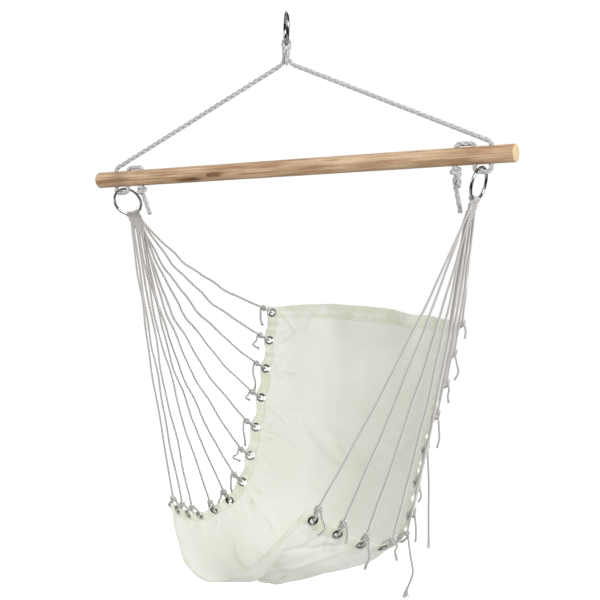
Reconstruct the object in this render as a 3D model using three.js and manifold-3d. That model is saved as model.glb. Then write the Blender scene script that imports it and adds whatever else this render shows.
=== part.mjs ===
// A hammock chair: a cloth seat hung by twenty-four lines from two side rings,
// under a wooden spreader bar that hangs by one rope from a steel ring.
// Millimetres. X runs along the bar, the chair faces -Y, Z is up, and the
// origin is where a hook bears on the inside of the hanging ring.

import * as THREE from 'three';
import { mergeVertices } from 'three/addons/utils/BufferGeometryUtils.js';
import Module from 'manifold-3d';

const wasm = await Module();
wasm.setup();
const { Manifold, Mesh: ManifoldMesh } = wasm;

// Spreader bar
const barLength = 1000;
const barRadius = 17.5;
const barEndRounding = 4;
const barFacets = 24;
const barEndSteps = 3;
const ropeHoleRadius = 6.5;
const ropeHoleFacets = 16;
const outerHoleInset = 50;     // bar end to the outer rope hole
const bightSpan = 33;          // outer hole to middle hole
const archSpan = 39;           // middle hole to inner hole
const hookToBar = 320;         // hook bearing down to the bar's axis

// Clearance between pieces that touch
const touchGap = 0.3;
const cutOverrun = 2;

// Hanging ring and side rings, round steel wire
const hangRingRadius = 32;     // centre of the ring to the centre of its wire
const hangRingWire = 3;        // radius of the wire
const hangRingTurn = 30;       // degrees between the ring's own axis and the bar
const sideRingRadius = 32;
const sideRingWire = 3;
const ringSteps = 24;
const ringSides = 8;

// Suspension rope
const ropeRadius = 5;
const ropeSides = 8;
const ropeBend = 8.5;          // bend radius of the rope's centre at the bar
const ropeBendSteps = 4;
const ropeRise = 7.2;          // rope's corner above the bar at the outer hole
const ropeBelowRing = 3.2;     // play between bar, ring wire and bight, for the swing
const ropeArchPlay = 1.2;      // rope clear of the bar between the inner holes
const hitchWrapPlay = 0.6;     // hitch turns clear of the ring wire
const hitchTurnPitch = 5.5;    // each turn's place to either side of the middle
const hitchWrapSteps = 6;
const legPivotDrop = 38;       // ring wire down to where the two legs part
const legPivotReach = 20;      // from there to the cut between hitch and leg
const legPivotGap = 0.9;       // lets the cut faces turn past each other
const legCutRun = 3;           // straight rope before the cut

// The hitch between its two turns over the ring's wire, chosen by hand: across
// the wire, along it and up from its lowest point. The left leg comes up inside
// the bight, the bight hangs below, and the right leg passes down through it.
const hitchUpRoute = [[-10.6, 6.0, -41.0], [-9.5, 5.5, -35.5], [-9.2, 5.6, -18]];
const hitchBightRoute = [
  [8.2, 9.0, -14], [4.0, 11.8, -26], [0.5, 9.6, -36.5], [0, 0, -42.6],
  [0.5, -9.6, -36.5], [4.0, -11.8, -26], [8.2, -9.0, -14],
];
const hitchDownRoute = [[-8.4, -5.6, -12], [-3.6, -4.0, -23], [3.0, -0.5, -31], [8.2, -3.4, -37.2]];

// Stopper knots under the inner holes, with their tails
const stopperHalfWidth = 12.5;
const stopperHalfDepth = 11;
const stopperHeight = 20;
const stopperSegments = 10;
const stopperRings = 7;

// Rope tails below the stopper knots, chosen by hand: out, back and down from
// the knot's middle.
const stopperTails = {
  left: [[0, 0, 0], [-4, 2, -14], [-12, 3, -34], [-20, 4, -54]],
  right: [[0, 0, 0], [-2, 2, -14], [-1, 10, -44], [1, 22, -78]],
};
const stopperStub = [[0, 0, 0], [7, -4, -12], [8, -6, -32]];

// Seat cloth
const seatHalfWidth = 250;     // middle of the seat to the widest grommet
const seatReach = 225;         // bar's plane to the foremost grommet
const seatDrop = 736;          // bar's axis to the lowest grommet
const seatTwist = 15;          // the right edge hangs lower at the back
const seatTurn = 10;           // degrees the empty seat hangs turned under the bar
const seatShift = 60;          // the seat hangs to the right, as photographed
const seatSet = 16;            // and a little back
const clothSpan = 520;         // flat cloth from grommet row to grommet row
const clothThickness = 2;
const edgeMargin = 13;         // grommet centre to the side edge
const topMargin = 13;          // grommet centre to the top edge
const topCrown = 22;           // top edge stands this much higher in its middle
const frontMargin = 24;        // grommet centre to the front edge
const scallop = 5;             // side edge drawn in between grommets
const padReach = 11;           // flat cloth round each grommet
const clothHoleHalf = 6.7;
const foldDepth = 6;
const clothColumns = 10;
const sagShareFloor = 0.0001;  // search for the cloth's sag, as a share of its chord
const sagHalvings = 40;

// Grommet places down one edge, from the top of the back to the front, as
// shares of seatHalfWidth, seatReach and seatDrop, and of seatTwist.
const stationShares = [
  { out: 0.990, back: 0.650, down: 0.432, twist: -0.90, span: 0.985 },
  { out: 0.970, back: 0.580, down: 0.515, twist: -0.75, span: 1.000 },
  { out: 0.950, back: 0.500, down: 0.599, twist: -0.62, span: 1.000 },
  { out: 0.925, back: 0.400, down: 0.685, twist: -0.55, span: 1.000 },
  { out: 0.900, back: 0.290, down: 0.771, twist: -0.50, span: 1.000 },
  { out: 0.885, back: 0.190, down: 0.855, twist: -0.55, span: 1.000 },
  { out: 0.890, back: 0.080, down: 0.935, twist: -0.75, span: 0.980 },
  { out: 0.900, back: -0.090, down: 0.987, twist: -0.90, span: 0.955 },
  { out: 0.890, back: -0.320, down: 1.000, twist: -0.55, span: 0.940 },
  { out: 0.850, back: -0.560, down: 0.994, twist: -0.05, span: 0.920 },
  { out: 0.785, back: -0.785, down: 0.968, twist: 0.40, span: 0.895 },
  { out: 0.710, back: -1.000, down: 0.935, twist: 0.80, span: 0.880 },
];

// Main folds of the empty cloth, column by column, as shares of foldDepth.
const foldShares = [0.35, -0.55, 0.90, -0.75, 0.30, 0.60, -0.90, 0.70, -0.40];

// Grommets, pressed from sheet metal
const grommetRadius = 10;
const grommetBore = 5.5;
const grommetBarrel = 6.3;
const grommetFlange = 1.2;
const grommetFacets = 10;

// Clews, where the lines are woven together below each side ring
const clewThickness = 11;
const clewBandRadius = 6;
const clewBandPlay = 0.4;
const clewBandAngle = 40;      // degrees of the ring covered to either side
const clewBoreAngle = 50;      // the ring's bore runs out past both ends of the band
const clewBandSteps = 10;
const clewBandSides = 10;
const clewPlateStart = 36;     // from the ring's centre
const clewPlateSteps = 4;
const clewSideReach = 2.6;     // cloth of the clew outside each line's centre
const lineLayer = 2.8;         // lines lie in two layers in the clew
const lineFirstRun = 4;        // straight run of a line below its ledge

// Ledges that the lines leave from, from the outermost inwards
const ledges = [
  { out: 17.5, down: 14 },
  { out: 14.4, down: 24 },
  { out: 11.3, down: 34 },
  { out: 8.2, down: 44 },
  { out: 5.1, down: 54 },
  { out: 1.6, down: 62 },
];

// Lines
const lineRadius = 2.5;
const lineSides = 5;
const lineKnotReach = 23;      // grommet centre to the knot
const lineKnotLean = 0.35;     // how far the knot is drawn towards the pull
const lineKnotHalfLength = 6.5;
const lineKnotHalfWidth = 5;
const lineKnotSegments = 6;
const lineKnotRings = 4;

// Loop of a line through its grommet: along the pull, and off the cloth
const loopRoute = [
  [13, 5.9], [6.4, 6.1], [2.8, 5.0], [1.9, 0], [2.8, -5.0], [6.4, -6.1], [13, -5.9],
];

// How far each line sags from its straight run, from the back to the front
const lineSags = {
  left: [26, 28, 31, 34, 36, 36, 34, 28, 20, 15, 14, 14],
  right: [4, 5, 6, 7, 8, 8, 8, 8, 8, 8, 9, 12],
};
const lineSagSteps = 6;

// Free ends of the lines below their knots, from the back to the front
const tailLengths = {
  left: [40, 30, 65, 18, 55, 25, 45, 35, 20, 30, 25, 16],
  right: [30, 55, 40, 67, 190, 45, 60, 105, 28, 52, 35, 48],
};
const tailSway = 6;
const tailStandOff = 8;        // free ends hang this far outside their knots
const tailBendShare = 0.35;    // of its length, where a free end turns downwards
const tailSwayShares = [0.6, -0.4, 0.2, -0.8, 0.5, -0.2, 0.9, -0.6, 0.3, -0.9, 0.7, -0.3];

const vec = (x, y, z) => new THREE.Vector3(x, y, z);
const radians = THREE.MathUtils.degToRad;
const along = (point, direction, length) => point.clone().addScaledVector(direction, length);
const between = (a, b, share) => a.clone().lerp(b, share);
const unit = (a) => a.clone().normalize();

const finishes = {
  steel: { color: 0xc9ccd1, roughness: 0.12, metalness: 1 },
  nickel: { color: 0xb9bcc0, roughness: 0.22, metalness: 1 },
  wood: { color: 0xc29a70, roughness: 0.55, metalness: 0 },
  rope: { color: 0xd9d6d2, roughness: 0.9, metalness: 0 },
  line: { color: 0xd6d2cd, roughness: 0.9, metalness: 0 },
  cloth: { color: 0xe3e5d9, roughness: 0.92, metalness: 0 },
};

const group = new THREE.Group();

function add(name, geometry, finish) {
  const mesh = new THREE.Mesh(geometry, new THREE.MeshStandardMaterial(finishes[finish]));
  mesh.name = name;
  group.add(mesh);
  return mesh;
}

function solidOf(geometry) {
  const bare = geometry.clone();
  bare.deleteAttribute('normal');
  bare.deleteAttribute('uv');
  const merged = mergeVertices(bare);
  return new Manifold(new ManifoldMesh({
    numProp: 3,
    vertProperties: new Float32Array(merged.attributes.position.array),
    triVerts: new Uint32Array(merged.index.array),
  }));
}

function geometryOf(solid) {
  const mesh = solid.getMesh();
  return meshGeometry(Array.from(mesh.vertProperties), Array.from(mesh.triVerts));
}

function meshGeometry(positions, indices) {
  const geometry = new THREE.BufferGeometry();
  geometry.setAttribute('position', new THREE.Float32BufferAttribute(positions, 3));
  geometry.setIndex(indices);
  geometry.computeVertexNormals();
  return geometry;
}

// A round tube through all the points, capped flat at both ends.
function tube(points, radius, sides, firstDirection = null) {
  const positions = [];
  const indices = [];
  const last = points.length - 1;
  let side = null;
  for (let i = 0; i <= last; i += 1) {
    const ahead = points[Math.min(i + 1, last)];
    const behind = points[Math.max(i - 1, 0)];
    const way = i === 0 && firstDirection ? unit(firstDirection) : unit(ahead.clone().sub(behind));
    if (!side) side = Math.abs(way.y) < Math.abs(way.x) ? vec(0, 1, 0) : vec(1, 0, 0);
    side = unit(side.addScaledVector(way, -side.dot(way)));
    const up = way.clone().cross(side);
    for (let k = 0; k < sides; k += 1) {
      const angle = (2 * Math.PI * k) / sides;
      const spot = along(points[i], side, radius * Math.cos(angle));
      spot.addScaledVector(up, radius * Math.sin(angle));
      positions.push(spot.x, spot.y, spot.z);
    }
  }
  for (let i = 0; i < last; i += 1) {
    for (let k = 0; k < sides; k += 1) {
      const a = i * sides + k;
      const b = i * sides + ((k + 1) % sides);
      indices.push(a, b, a + sides, b, b + sides, a + sides);
    }
  }
  for (let k = 1; k < sides - 1; k += 1) {
    indices.push(0, k + 1, k, last * sides, last * sides + k, last * sides + k + 1);
  }
  return meshGeometry(positions, indices);
}

// The corners of a route rounded to one bend radius.
function rounded(corners, bend, steps) {
  const route = [corners[0].clone()];
  for (let i = 1; i < corners.length - 1; i += 1) {
    const into = unit(corners[i].clone().sub(corners[i - 1]));
    const out = unit(corners[i + 1].clone().sub(corners[i]));
    const turn = Math.acos(THREE.MathUtils.clamp(into.dot(out), -1, 1));
    const run = bend * Math.tan(turn / 2);
    const inner = unit(out.clone().sub(into));
    const centre = along(corners[i], inner, bend / Math.cos(turn / 2));
    const start = along(corners[i], into, -run).sub(centre);
    const axis = unit(into.clone().cross(out));
    for (let k = 0; k <= steps; k += 1) {
      route.push(start.clone().applyAxisAngle(axis, (turn * k) / steps).add(centre));
    }
  }
  route.push(corners[corners.length - 1].clone());
  return route;
}

function ellipsoid(centre, way, halfLength, halfWidth, halfDepth, segments, rings) {
  const geometry = new THREE.SphereGeometry(1, segments, rings);
  geometry.scale(halfWidth, halfLength, halfDepth);
  geometry.applyQuaternion(new THREE.Quaternion().setFromUnitVectors(vec(0, 1, 0), way));
  geometry.translate(centre.x, centre.y, centre.z);
  return geometry;
}

// Hanging ring: its inside top is the origin
const hangRingCentre = vec(0, 0, -(hangRingRadius - hangRingWire));

function addHangingRing() {
  const ring = add('hanging_ring',
    new THREE.TorusGeometry(hangRingRadius, hangRingWire, ringSides, ringSteps), 'steel');
  ring.rotation.set(radians(90), 0, radians(90 + hangRingTurn), 'ZYX');
  ring.position.copy(hangRingCentre);
}

// Hitch frame: across the ring's wire, along the wire, and up
const hitchAcross = vec(Math.cos(radians(hangRingTurn)), Math.sin(radians(hangRingTurn)), 0);
const hitchAlong = vec(-hitchAcross.y, hitchAcross.x, 0);
const hangRingBottom = vec(0, 0, hangRingCentre.z - hangRingRadius);

function hitchPoint([across, alongWire, up]) {
  return along(along(hangRingBottom, hitchAcross, across), hitchAlong, alongWire)
    .add(vec(0, 0, up));
}

// One turn of the hitch over the ring's wire, square to the wire where it lies.
function hitchTurn(side, fromLeft) {
  const wrap = hangRingWire + ropeRadius + hitchWrapPlay;
  const place = side * Math.asin(hitchTurnPitch / hangRingRadius);
  const points = [];
  for (let k = 0; k <= hitchWrapSteps; k += 1) {
    const share = fromLeft ? k / hitchWrapSteps : 1 - k / hitchWrapSteps;
    const angle = Math.PI * (1 - share);
    const reach = hangRingRadius - wrap * Math.sin(angle);
    const spot = along(hangRingCentre, hitchAcross, wrap * Math.cos(angle));
    spot.addScaledVector(hitchAlong, reach * Math.sin(place));
    points.push(spot.add(vec(0, 0, -reach * Math.cos(place))));
  }
  return points;
}

const outerHole = barLength / 2 - outerHoleInset;
const middleHole = outerHole - bightSpan;
const innerHole = middleHole - archSpan;
const legPivot = vec(0, 0, hangRingBottom.z - legPivotDrop);
const legCorner = vec(outerHole, 0, barRadius + ropeRise - hookToBar);

function legPoint(side, reach) {
  const corner = vec(side * legCorner.x, legCorner.y, legCorner.z);
  return along(legPivot, unit(corner.sub(legPivot)), reach);
}

function hitchRoute() {
  const cut = legPivotReach - legPivotGap;
  return [
    legPoint(-1, cut), legPoint(-1, cut - legCutRun),
    ...hitchUpRoute.map(hitchPoint), ...hitchTurn(1, true),
    ...hitchBightRoute.map(hitchPoint), ...hitchTurn(-1, false),
    ...hitchDownRoute.map(hitchPoint),
    legPoint(1, cut - legCutRun), legPoint(1, cut),
  ];
}

function addSuspension() {
  add('top_hitch', tube(hitchRoute(), ropeRadius, ropeSides), 'rope');
  for (const [name, side] of [['left', -1], ['right', 1]]) {
    const place = (x, z) => vec(side * x, 0, z - hookToBar);
    const below = -(barRadius + 2 * sideRingWire + ropeRadius + ropeBelowRing);
    const above = barRadius + ropeArchPlay + ropeRadius;
    const route = rounded([
      legPoint(side, legPivotReach), place(outerHole, barRadius + ropeRise),
      place(outerHole, below), place(middleHole, below),
      place(middleHole, above), place(innerHole, above), place(innerHole, -barRadius),
    ], ropeBend, ropeBendSteps);
    add(`suspension_rope_${name}`, tube(route, ropeRadius, ropeSides), 'rope');
  }
}

function addStopperKnots() {
  for (const [name, side] of [['left', -1], ['right', 1]]) {
    const top = -(hookToBar + barRadius + touchGap);
    const middle = vec(side * innerHole, 0, top - stopperHeight / 2);
    const place = ([out, back, up]) => vec(middle.x + side * out, middle.y + back, middle.z + up);
    let knot = solidOf(ellipsoid(middle, vec(0, 0, 1), stopperHeight / 2,
      stopperHalfWidth, stopperHalfDepth, stopperSegments, stopperRings));
    knot = knot.add(solidOf(tube(stopperTails[name].map(place), ropeRadius, ropeSides)));
    if (side > 0) {
      knot = knot.add(solidOf(tube(stopperStub.map(place), ropeRadius, ropeSides)));
    }
    add(`stopper_knot_${name}`, geometryOf(knot), 'rope');
  }
}

function addSpreaderBar() {
  const half = barLength / 2;
  const profile = [new THREE.Vector2(0, -half)];
  for (const [end, first] of [[-1, -Math.PI / 2], [1, 0]]) {
    for (let k = 0; k <= barEndSteps; k += 1) {
      const angle = first + (Math.PI / 2) * (k / barEndSteps);
      profile.push(new THREE.Vector2(
        barRadius - barEndRounding + barEndRounding * Math.cos(angle),
        end * (half - barEndRounding) + barEndRounding * Math.sin(angle)));
    }
  }
  profile.push(new THREE.Vector2(0, half));
  const rod = new THREE.LatheGeometry(profile, barFacets);
  rod.rotateZ(-Math.PI / 2);
  let bar = solidOf(rod);
  for (const hole of [outerHole, middleHole, innerHole]) {
    for (const side of [-1, 1]) {
      const drill = new THREE.CylinderGeometry(
        ropeHoleRadius, ropeHoleRadius, 2 * (barRadius + cutOverrun), ropeHoleFacets);
      drill.rotateX(Math.PI / 2);
      drill.translate(side * hole, 0, 0);
      bar = bar.subtract(solidOf(drill));
    }
  }
  add('spreader_bar', geometryOf(bar), 'wood').position.set(0, 0, -hookToBar);
}

// The seat's own frame, turned and shifted under the bar
function seatPlace(x, y, z) {
  const turn = radians(-seatTurn);
  return vec(x, y, z).applyAxisAngle(vec(0, 0, 1), turn)
    .add(vec(seatShift, seatSet, -hookToBar));
}

function seatDirection(x, y, z) {
  return vec(x, y, z).applyAxisAngle(vec(0, 0, 1), radians(-seatTurn));
}

function grommetPlace(side, station) {
  const share = stationShares[station];
  return seatPlace(side * share.out * seatHalfWidth, share.back * seatReach,
    -share.down * seatDrop + side * share.twist * seatTwist);
}

// Sag of a cloth of this span over this chord, hanging as a parabola.
function sagOf(chord, span) {
  const arc = (rise) => {
    const slope = 4 * rise;
    const root = Math.sqrt(1 + slope * slope);
    return (chord / 2) * (root + Math.log(slope + root) / slope);
  };
  let low = sagShareFloor;
  let high = 1;
  for (let k = 0; k < sagHalvings; k += 1) {
    const middle = (low + high) / 2;
    if (arc(middle) < span) low = middle; else high = middle;
  }
  return chord * low;
}

// One line of grommets across the cloth: its ends, its sag and their ways.
function stationRow(station) {
  const count = stationShares.length;
  const before = stationShares[Math.max(station - 1, 0)];
  const after = stationShares[Math.min(station + 1, count - 1)];
  const back = (after.back - before.back) * seatReach;
  const up = -(after.down - before.down) * seatDrop;
  const length = Math.hypot(back, up);
  const left = grommetPlace(-1, station);
  const right = grommetPlace(1, station);
  const chord = left.distanceTo(right);
  return {
    left,
    right,
    sag: sagOf(chord, stationShares[station].span * clothSpan),
    down: seatDirection(0, -up / length, back / length),
  };
}

const rows = stationShares.map((_, station) => stationRow(station));

// The flat patch of cloth that a grommet sits in.
function pad(side, station) {
  const row = rows[station];
  const before = rows[Math.max(station - 1, 0)];
  const after = rows[Math.min(station + 1, rows.length - 1)];
  const end = side < 0 ? 'left' : 'right';
  const other = side < 0 ? 'right' : 'left';
  const chord = row[other].clone().sub(row[end]);
  const inward = unit(along(chord, row.down, 4 * row.sag));
  const forward = after[end].clone().sub(before[end]);
  const edge = unit(forward.addScaledVector(inward, -forward.dot(inward)));
  const face = edge.clone().cross(inward).multiplyScalar(side < 0 ? 1 : -1);
  return { centre: row[end], inward, edge, face: face.normalize() };
}

const pads = {
  left: rows.map((_, station) => pad(-1, station)),
  right: rows.map((_, station) => pad(1, station)),
};

// A strip of cloth points from the left edge to the right edge.
function clothRow(left, right, sag, down, draw, fold, crown = 0) {
  const points = [
    along(left.at, left.inward, draw - edgeMargin),
    along(left.at, left.inward, padReach),
  ];
  for (let k = 1; k < clothColumns; k += 1) {
    const share = k / clothColumns;
    const bow = 4 * sag * share * (1 - share) + fold * foldShares[k - 1];
    const spot = along(between(left.at, right.at, share), down, bow);
    points.push(along(spot, left.edge, -4 * crown * share * (1 - share)));
  }
  points.push(along(right.at, right.inward, padReach));
  points.push(along(right.at, right.inward, draw - edgeMargin));
  return points;
}

function stationStrip(station, offset, fold) {
  const row = rows[station];
  const end = (patch) => ({
    at: along(patch.centre, patch.edge, offset), inward: patch.inward, edge: patch.edge,
  });
  return clothRow(end(pads.left[station]), end(pads.right[station]),
    row.sag, row.down, 0, fold, offset === -topMargin ? topCrown : 0);
}

function middleStrip(station, fold) {
  const end = (side) => {
    const near = pads[side][station];
    const far = pads[side][station + 1];
    const from = along(near.centre, near.edge, padReach);
    const to = along(far.centre, far.edge, -padReach);
    const inward = unit(near.inward.clone().add(far.inward));
    return { at: between(from, to, 1 / 2), inward, edge: near.edge };
  };
  const row = rows[station];
  const next = rows[station + 1];
  return clothRow(end('left'), end('right'), (row.sag + next.sag) / 2,
    unit(row.down.clone().add(next.down)), scallop, fold);
}

function clothStrips() {
  const strips = [];
  const last = rows.length - 1;
  for (let station = 0; station <= last; station += 1) {
    const fold = foldDepth * (1 - station / (2 * last));
    strips.push(stationStrip(station, station === 0 ? -topMargin : -padReach, fold));
    strips.push(stationStrip(station, padReach, fold));
    if (station < last) strips.push(middleStrip(station, fold));
  }
  strips.push(stationStrip(last, frontMargin, foldDepth));
  return strips;
}

// The cloth is two skins half a thickness either side of its middle, joined
// round the edge and round a square hole for each grommet.
function clothGeometry() {
  const strips = clothStrips();
  const high = strips.length;
  const wide = strips[0].length;
  const positions = [];
  const indices = [];
  const half = clothThickness / 2;
  const put = (point) => positions.push(point.x, point.y, point.z) / 3 - 1;
  const face = (i, j) => {
    const down = strips[Math.min(i + 1, high - 1)][j].clone().sub(strips[Math.max(i - 1, 0)][j]);
    const over = strips[i][Math.min(j + 1, wide - 1)].clone().sub(strips[i][Math.max(j - 1, 0)]);
    return unit(down.cross(over));
  };
  const skins = [half, -half].map((shift) => strips.map(
    (strip, i) => strip.map((point, j) => put(along(point, face(i, j), shift)))));
  const quad = (a, b, c, d) => indices.push(a, b, c, a, c, d);
  const [front, rear] = skins;
  const isPad = (i, j) => i % 3 === 0 && (j === 0 || j === wide - 2);
  for (let i = 0; i < high - 1; i += 1) {
    for (let j = 0; j < wide - 1; j += 1) {
      const ring = [[i, j], [i + 1, j], [i + 1, j + 1], [i, j + 1]];
      const outer = skins.map((skin) => ring.map(([r, c]) => skin[r][c]));
      if (isPad(i, j)) {
        const patch = pads[j === 0 ? 'left' : 'right'][i / 3];
        const turn = j === 0 ? 1 : -1;
        const square = [[-1, -1], [1, -1], [1, 1], [-1, 1]];
        const inner = [half, -half].map((shift) => square.map(([down, over]) => put(
          along(along(along(patch.centre, patch.edge, down * clothHoleHalf),
            patch.inward, turn * over * clothHoleHalf), patch.face, shift))));
        for (let k = 0; k < 4; k += 1) {
          const n = (k + 1) % 4;
          quad(outer[0][k], outer[0][n], inner[0][n], inner[0][k]);
          quad(outer[1][n], outer[1][k], inner[1][k], inner[1][n]);
          quad(inner[0][k], inner[0][n], inner[1][n], inner[1][k]);
        }
      } else {
        quad(...outer[0]);
        quad(...outer[1].reverse());
      }
    }
  }
  for (let i = 0; i < high - 1; i += 1) {
    quad(front[i + 1][0], front[i][0], rear[i][0], rear[i + 1][0]);
    quad(front[i][wide - 1], front[i + 1][wide - 1], rear[i + 1][wide - 1], rear[i][wide - 1]);
  }
  for (let j = 0; j < wide - 1; j += 1) {
    quad(front[0][j], front[0][j + 1], rear[0][j + 1], rear[0][j]);
    quad(front[high - 1][j + 1], front[high - 1][j], rear[high - 1][j], rear[high - 1][j + 1]);
  }
  return meshGeometry(positions, indices);
}

function addGrommets() {
  const inner = clothThickness / 2 + touchGap;
  const outer = inner + grommetFlange;
  const outline = [
    [grommetBore, -outer], [grommetRadius, -outer], [grommetRadius, -inner],
    [grommetBarrel, -inner], [grommetBarrel, inner], [grommetRadius, inner],
    [grommetRadius, outer], [grommetBore, outer], [grommetBore, -outer],
  ];
  for (const side of ['left', 'right']) {
    pads[side].forEach((patch, station) => {
      const profile = outline.map(([radius, height]) => new THREE.Vector2(radius, height));
      const name = `grommet_${side}_${String(station + 1).padStart(2, '0')}`;
      const grommet = add(name, new THREE.LatheGeometry(profile, grommetFacets), 'nickel');
      const basis = new THREE.Matrix4().makeBasis(
        patch.edge, patch.face, patch.edge.clone().cross(patch.face));
      grommet.quaternion.setFromRotationMatrix(basis);
      grommet.position.copy(patch.centre);
    });
  }
}

// Side ring and clew share one frame: down the pull of the lines, across the
// fan that they make, and square to both.
function fanFrame(side) {
  const patches = pads[side < 0 ? 'left' : 'right'];
  const bight = vec(side * (outerHole + middleHole) / 2, 0,
    -(hookToBar + barRadius + 2 * sideRingWire + ropeRadius + ropeBelowRing));
  const middle = patches.reduce((sum, patch) => sum.add(patch.centre), vec(0, 0, 0))
    .divideScalar(patches.length);
  const down = unit(middle.clone().sub(bight));
  const first = unit(patches[0].centre.clone().sub(bight));
  const last = unit(patches[patches.length - 1].centre.clone().sub(bight));
  const spread = first.sub(last);
  const across = unit(spread.addScaledVector(down, -spread.dot(down)));
  const lift = unit(vec(0, -down.y, -down.z));
  const top = along(bight, lift, ropeRadius + sideRingWire + touchGap);
  return {
    side, bight, down, across,
    square: across.clone().cross(down),
    centre: along(top, down, sideRingRadius),
  };
}

const fans = { left: fanFrame(-1), right: fanFrame(1) };

function fanPoint(fan, out, down, off) {
  const spot = along(along(fan.centre, fan.across, out), fan.down, down);
  return spot.addScaledVector(fan.square, off);
}

function addSideRings() {
  for (const side of ['left', 'right']) {
    const fan = fans[side];
    const ring = add(`side_ring_${side}`,
      new THREE.TorusGeometry(sideRingRadius, sideRingWire, ringSides, ringSteps), 'steel');
    const basis = new THREE.Matrix4().makeBasis(
      fan.across, fan.down, fan.across.clone().cross(fan.down));
    ring.quaternion.setFromRotationMatrix(basis);
    ring.position.copy(fan.centre);
  }
}

function ringArc(fan, angle) {
  const points = [];
  for (let k = 0; k <= clewBandSteps; k += 1) {
    const turn = radians(angle * ((2 * k) / clewBandSteps - 1));
    points.push(fanPoint(fan, sideRingRadius * Math.sin(turn), sideRingRadius * Math.cos(turn), 0));
  }
  return points;
}

// Stepped plate of woven line, each ledge facing down the pull.
function clewPlate(fan) {
  const half = [];
  for (let k = 0; k <= clewPlateSteps; k += 1) {
    const turn = radians((clewBandAngle * k) / clewPlateSteps);
    half.push([clewPlateStart * Math.sin(turn), clewPlateStart * Math.cos(turn)]);
  }
  let reach = ledges[0].out + clewSideReach;
  half.push([reach, sideRingRadius + ledges[0].down / 2]);
  for (const ledge of ledges) {
    half.push([reach, sideRingRadius + ledge.down]);
    reach = ledge.out - lineRadius - clewBandPlay;
    half.push([reach, sideRingRadius + ledge.down]);
  }
  half.pop();   // the lowest ledge runs right across
  const mirrored = half.slice(1).reverse().map(([out, down]) => [-out, down]);
  const outline = [...half, ...mirrored];
  const shape = new THREE.Shape(outline.map(([out, down]) => new THREE.Vector2(out, down)));
  const plate = new THREE.ExtrudeGeometry(shape, { depth: clewThickness, bevelEnabled: false });
  plate.translate(0, 0, -clewThickness / 2);
  const basis = new THREE.Matrix4().makeBasis(
    fan.across, fan.down, fan.across.clone().cross(fan.down));
  plate.applyMatrix4(basis.setPosition(fan.centre));
  return plate;
}

function addClews() {
  for (const side of ['left', 'right']) {
    const fan = fans[side];
    const band = solidOf(tube(ringArc(fan, clewBandAngle), clewBandRadius, clewBandSides));
    const bore = solidOf(tube(ringArc(fan, clewBoreAngle),
      sideRingWire + clewBandPlay, clewBandSides));
    const clew = band.add(solidOf(clewPlate(fan))).subtract(bore);
    add(`clew_${side}`, geometryOf(clew), 'line');
  }
}

// Where a line starts below its clew, and which layer it lies in.
function lineStart(fan, station) {
  const count = ledges.length;
  const back = station < count;
  const ledge = ledges[back ? station : 2 * count - 1 - station];
  const out = back ? ledge.out : -ledge.out;
  const layer = station % 2 ? -lineLayer : lineLayer;
  return fanPoint(fan, out, sideRingRadius + ledge.down + touchGap, layer);
}

// The free run of a line, bowed down by its own weight.
function saggingRun(from, to, sag) {
  const chord = unit(to.clone().sub(from));
  const down = unit(along(vec(0, 0, -1), chord, chord.z));
  const points = [];
  for (let k = 0; k < lineSagSteps; k += 1) {
    const share = k / lineSagSteps;
    points.push(along(between(from, to, share), down, 4 * sag * share * (1 - share)));
  }
  return points;
}

function lineRoute(fan, patch, station) {
  const start = lineStart(fan, station);
  const run = along(start, fan.down, lineFirstRun);
  const pull = unit(run.clone().sub(patch.centre));
  const lean = lineKnotLean * Math.sign(pull.dot(patch.edge));
  const out = unit(patch.inward.clone().negate().addScaledVector(patch.edge, lean));
  const knot = along(patch.centre, out, lineKnotReach);
  const loop = loopRoute.map(([reach, off]) => along(
    along(patch.centre, out, reach), patch.face, off));
  return { start, run, knot, out, loop };
}

function addLines() {
  for (const side of ['left', 'right']) {
    const fan = fans[side];
    pads[side].forEach((patch, station) => {
      const route = lineRoute(fan, patch, station);
      const sagging = saggingRun(route.run, route.knot, lineSags[side][station]);
      const way = unit(sagging[lineSagSteps - 1].clone().sub(route.knot));
      const main = tube([route.start, ...sagging, route.knot, ...route.loop, route.knot],
        lineRadius, lineSides, fan.down);
      const knot = ellipsoid(route.knot, way, lineKnotHalfLength, lineKnotHalfWidth,
        lineKnotHalfWidth, lineKnotSegments, lineKnotRings);
      const length = tailLengths[side][station];
      const sway = tailSway * tailSwayShares[station];
      const aside = unit(vec(route.out.x, route.out.y, 0));
      const hang = (share, off) => along(along(route.knot, vec(0, sway, -length), share), aside, off);
      const tail = tube([
        route.knot, hang(tailBendShare, tailStandOff), hang(1, tailStandOff),
      ], lineRadius, lineSides);
      const line = solidOf(main).add(solidOf(knot)).add(solidOf(tail));
      add(`line_${side}_${String(station + 1).padStart(2, '0')}`, geometryOf(line), 'line');
    });
  }
}

addHangingRing();
addSuspension();
addStopperKnots();
addSpreaderBar();
addSideRings();
addClews();
addLines();
addGrommets();
add('seat_cloth', clothGeometry(), 'cloth');

export default group;
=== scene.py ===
import math

import bmesh
import bpy
import numpy as np
from mathutils import Matrix, Vector
from mathutils.kdtree import KDTree


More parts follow.
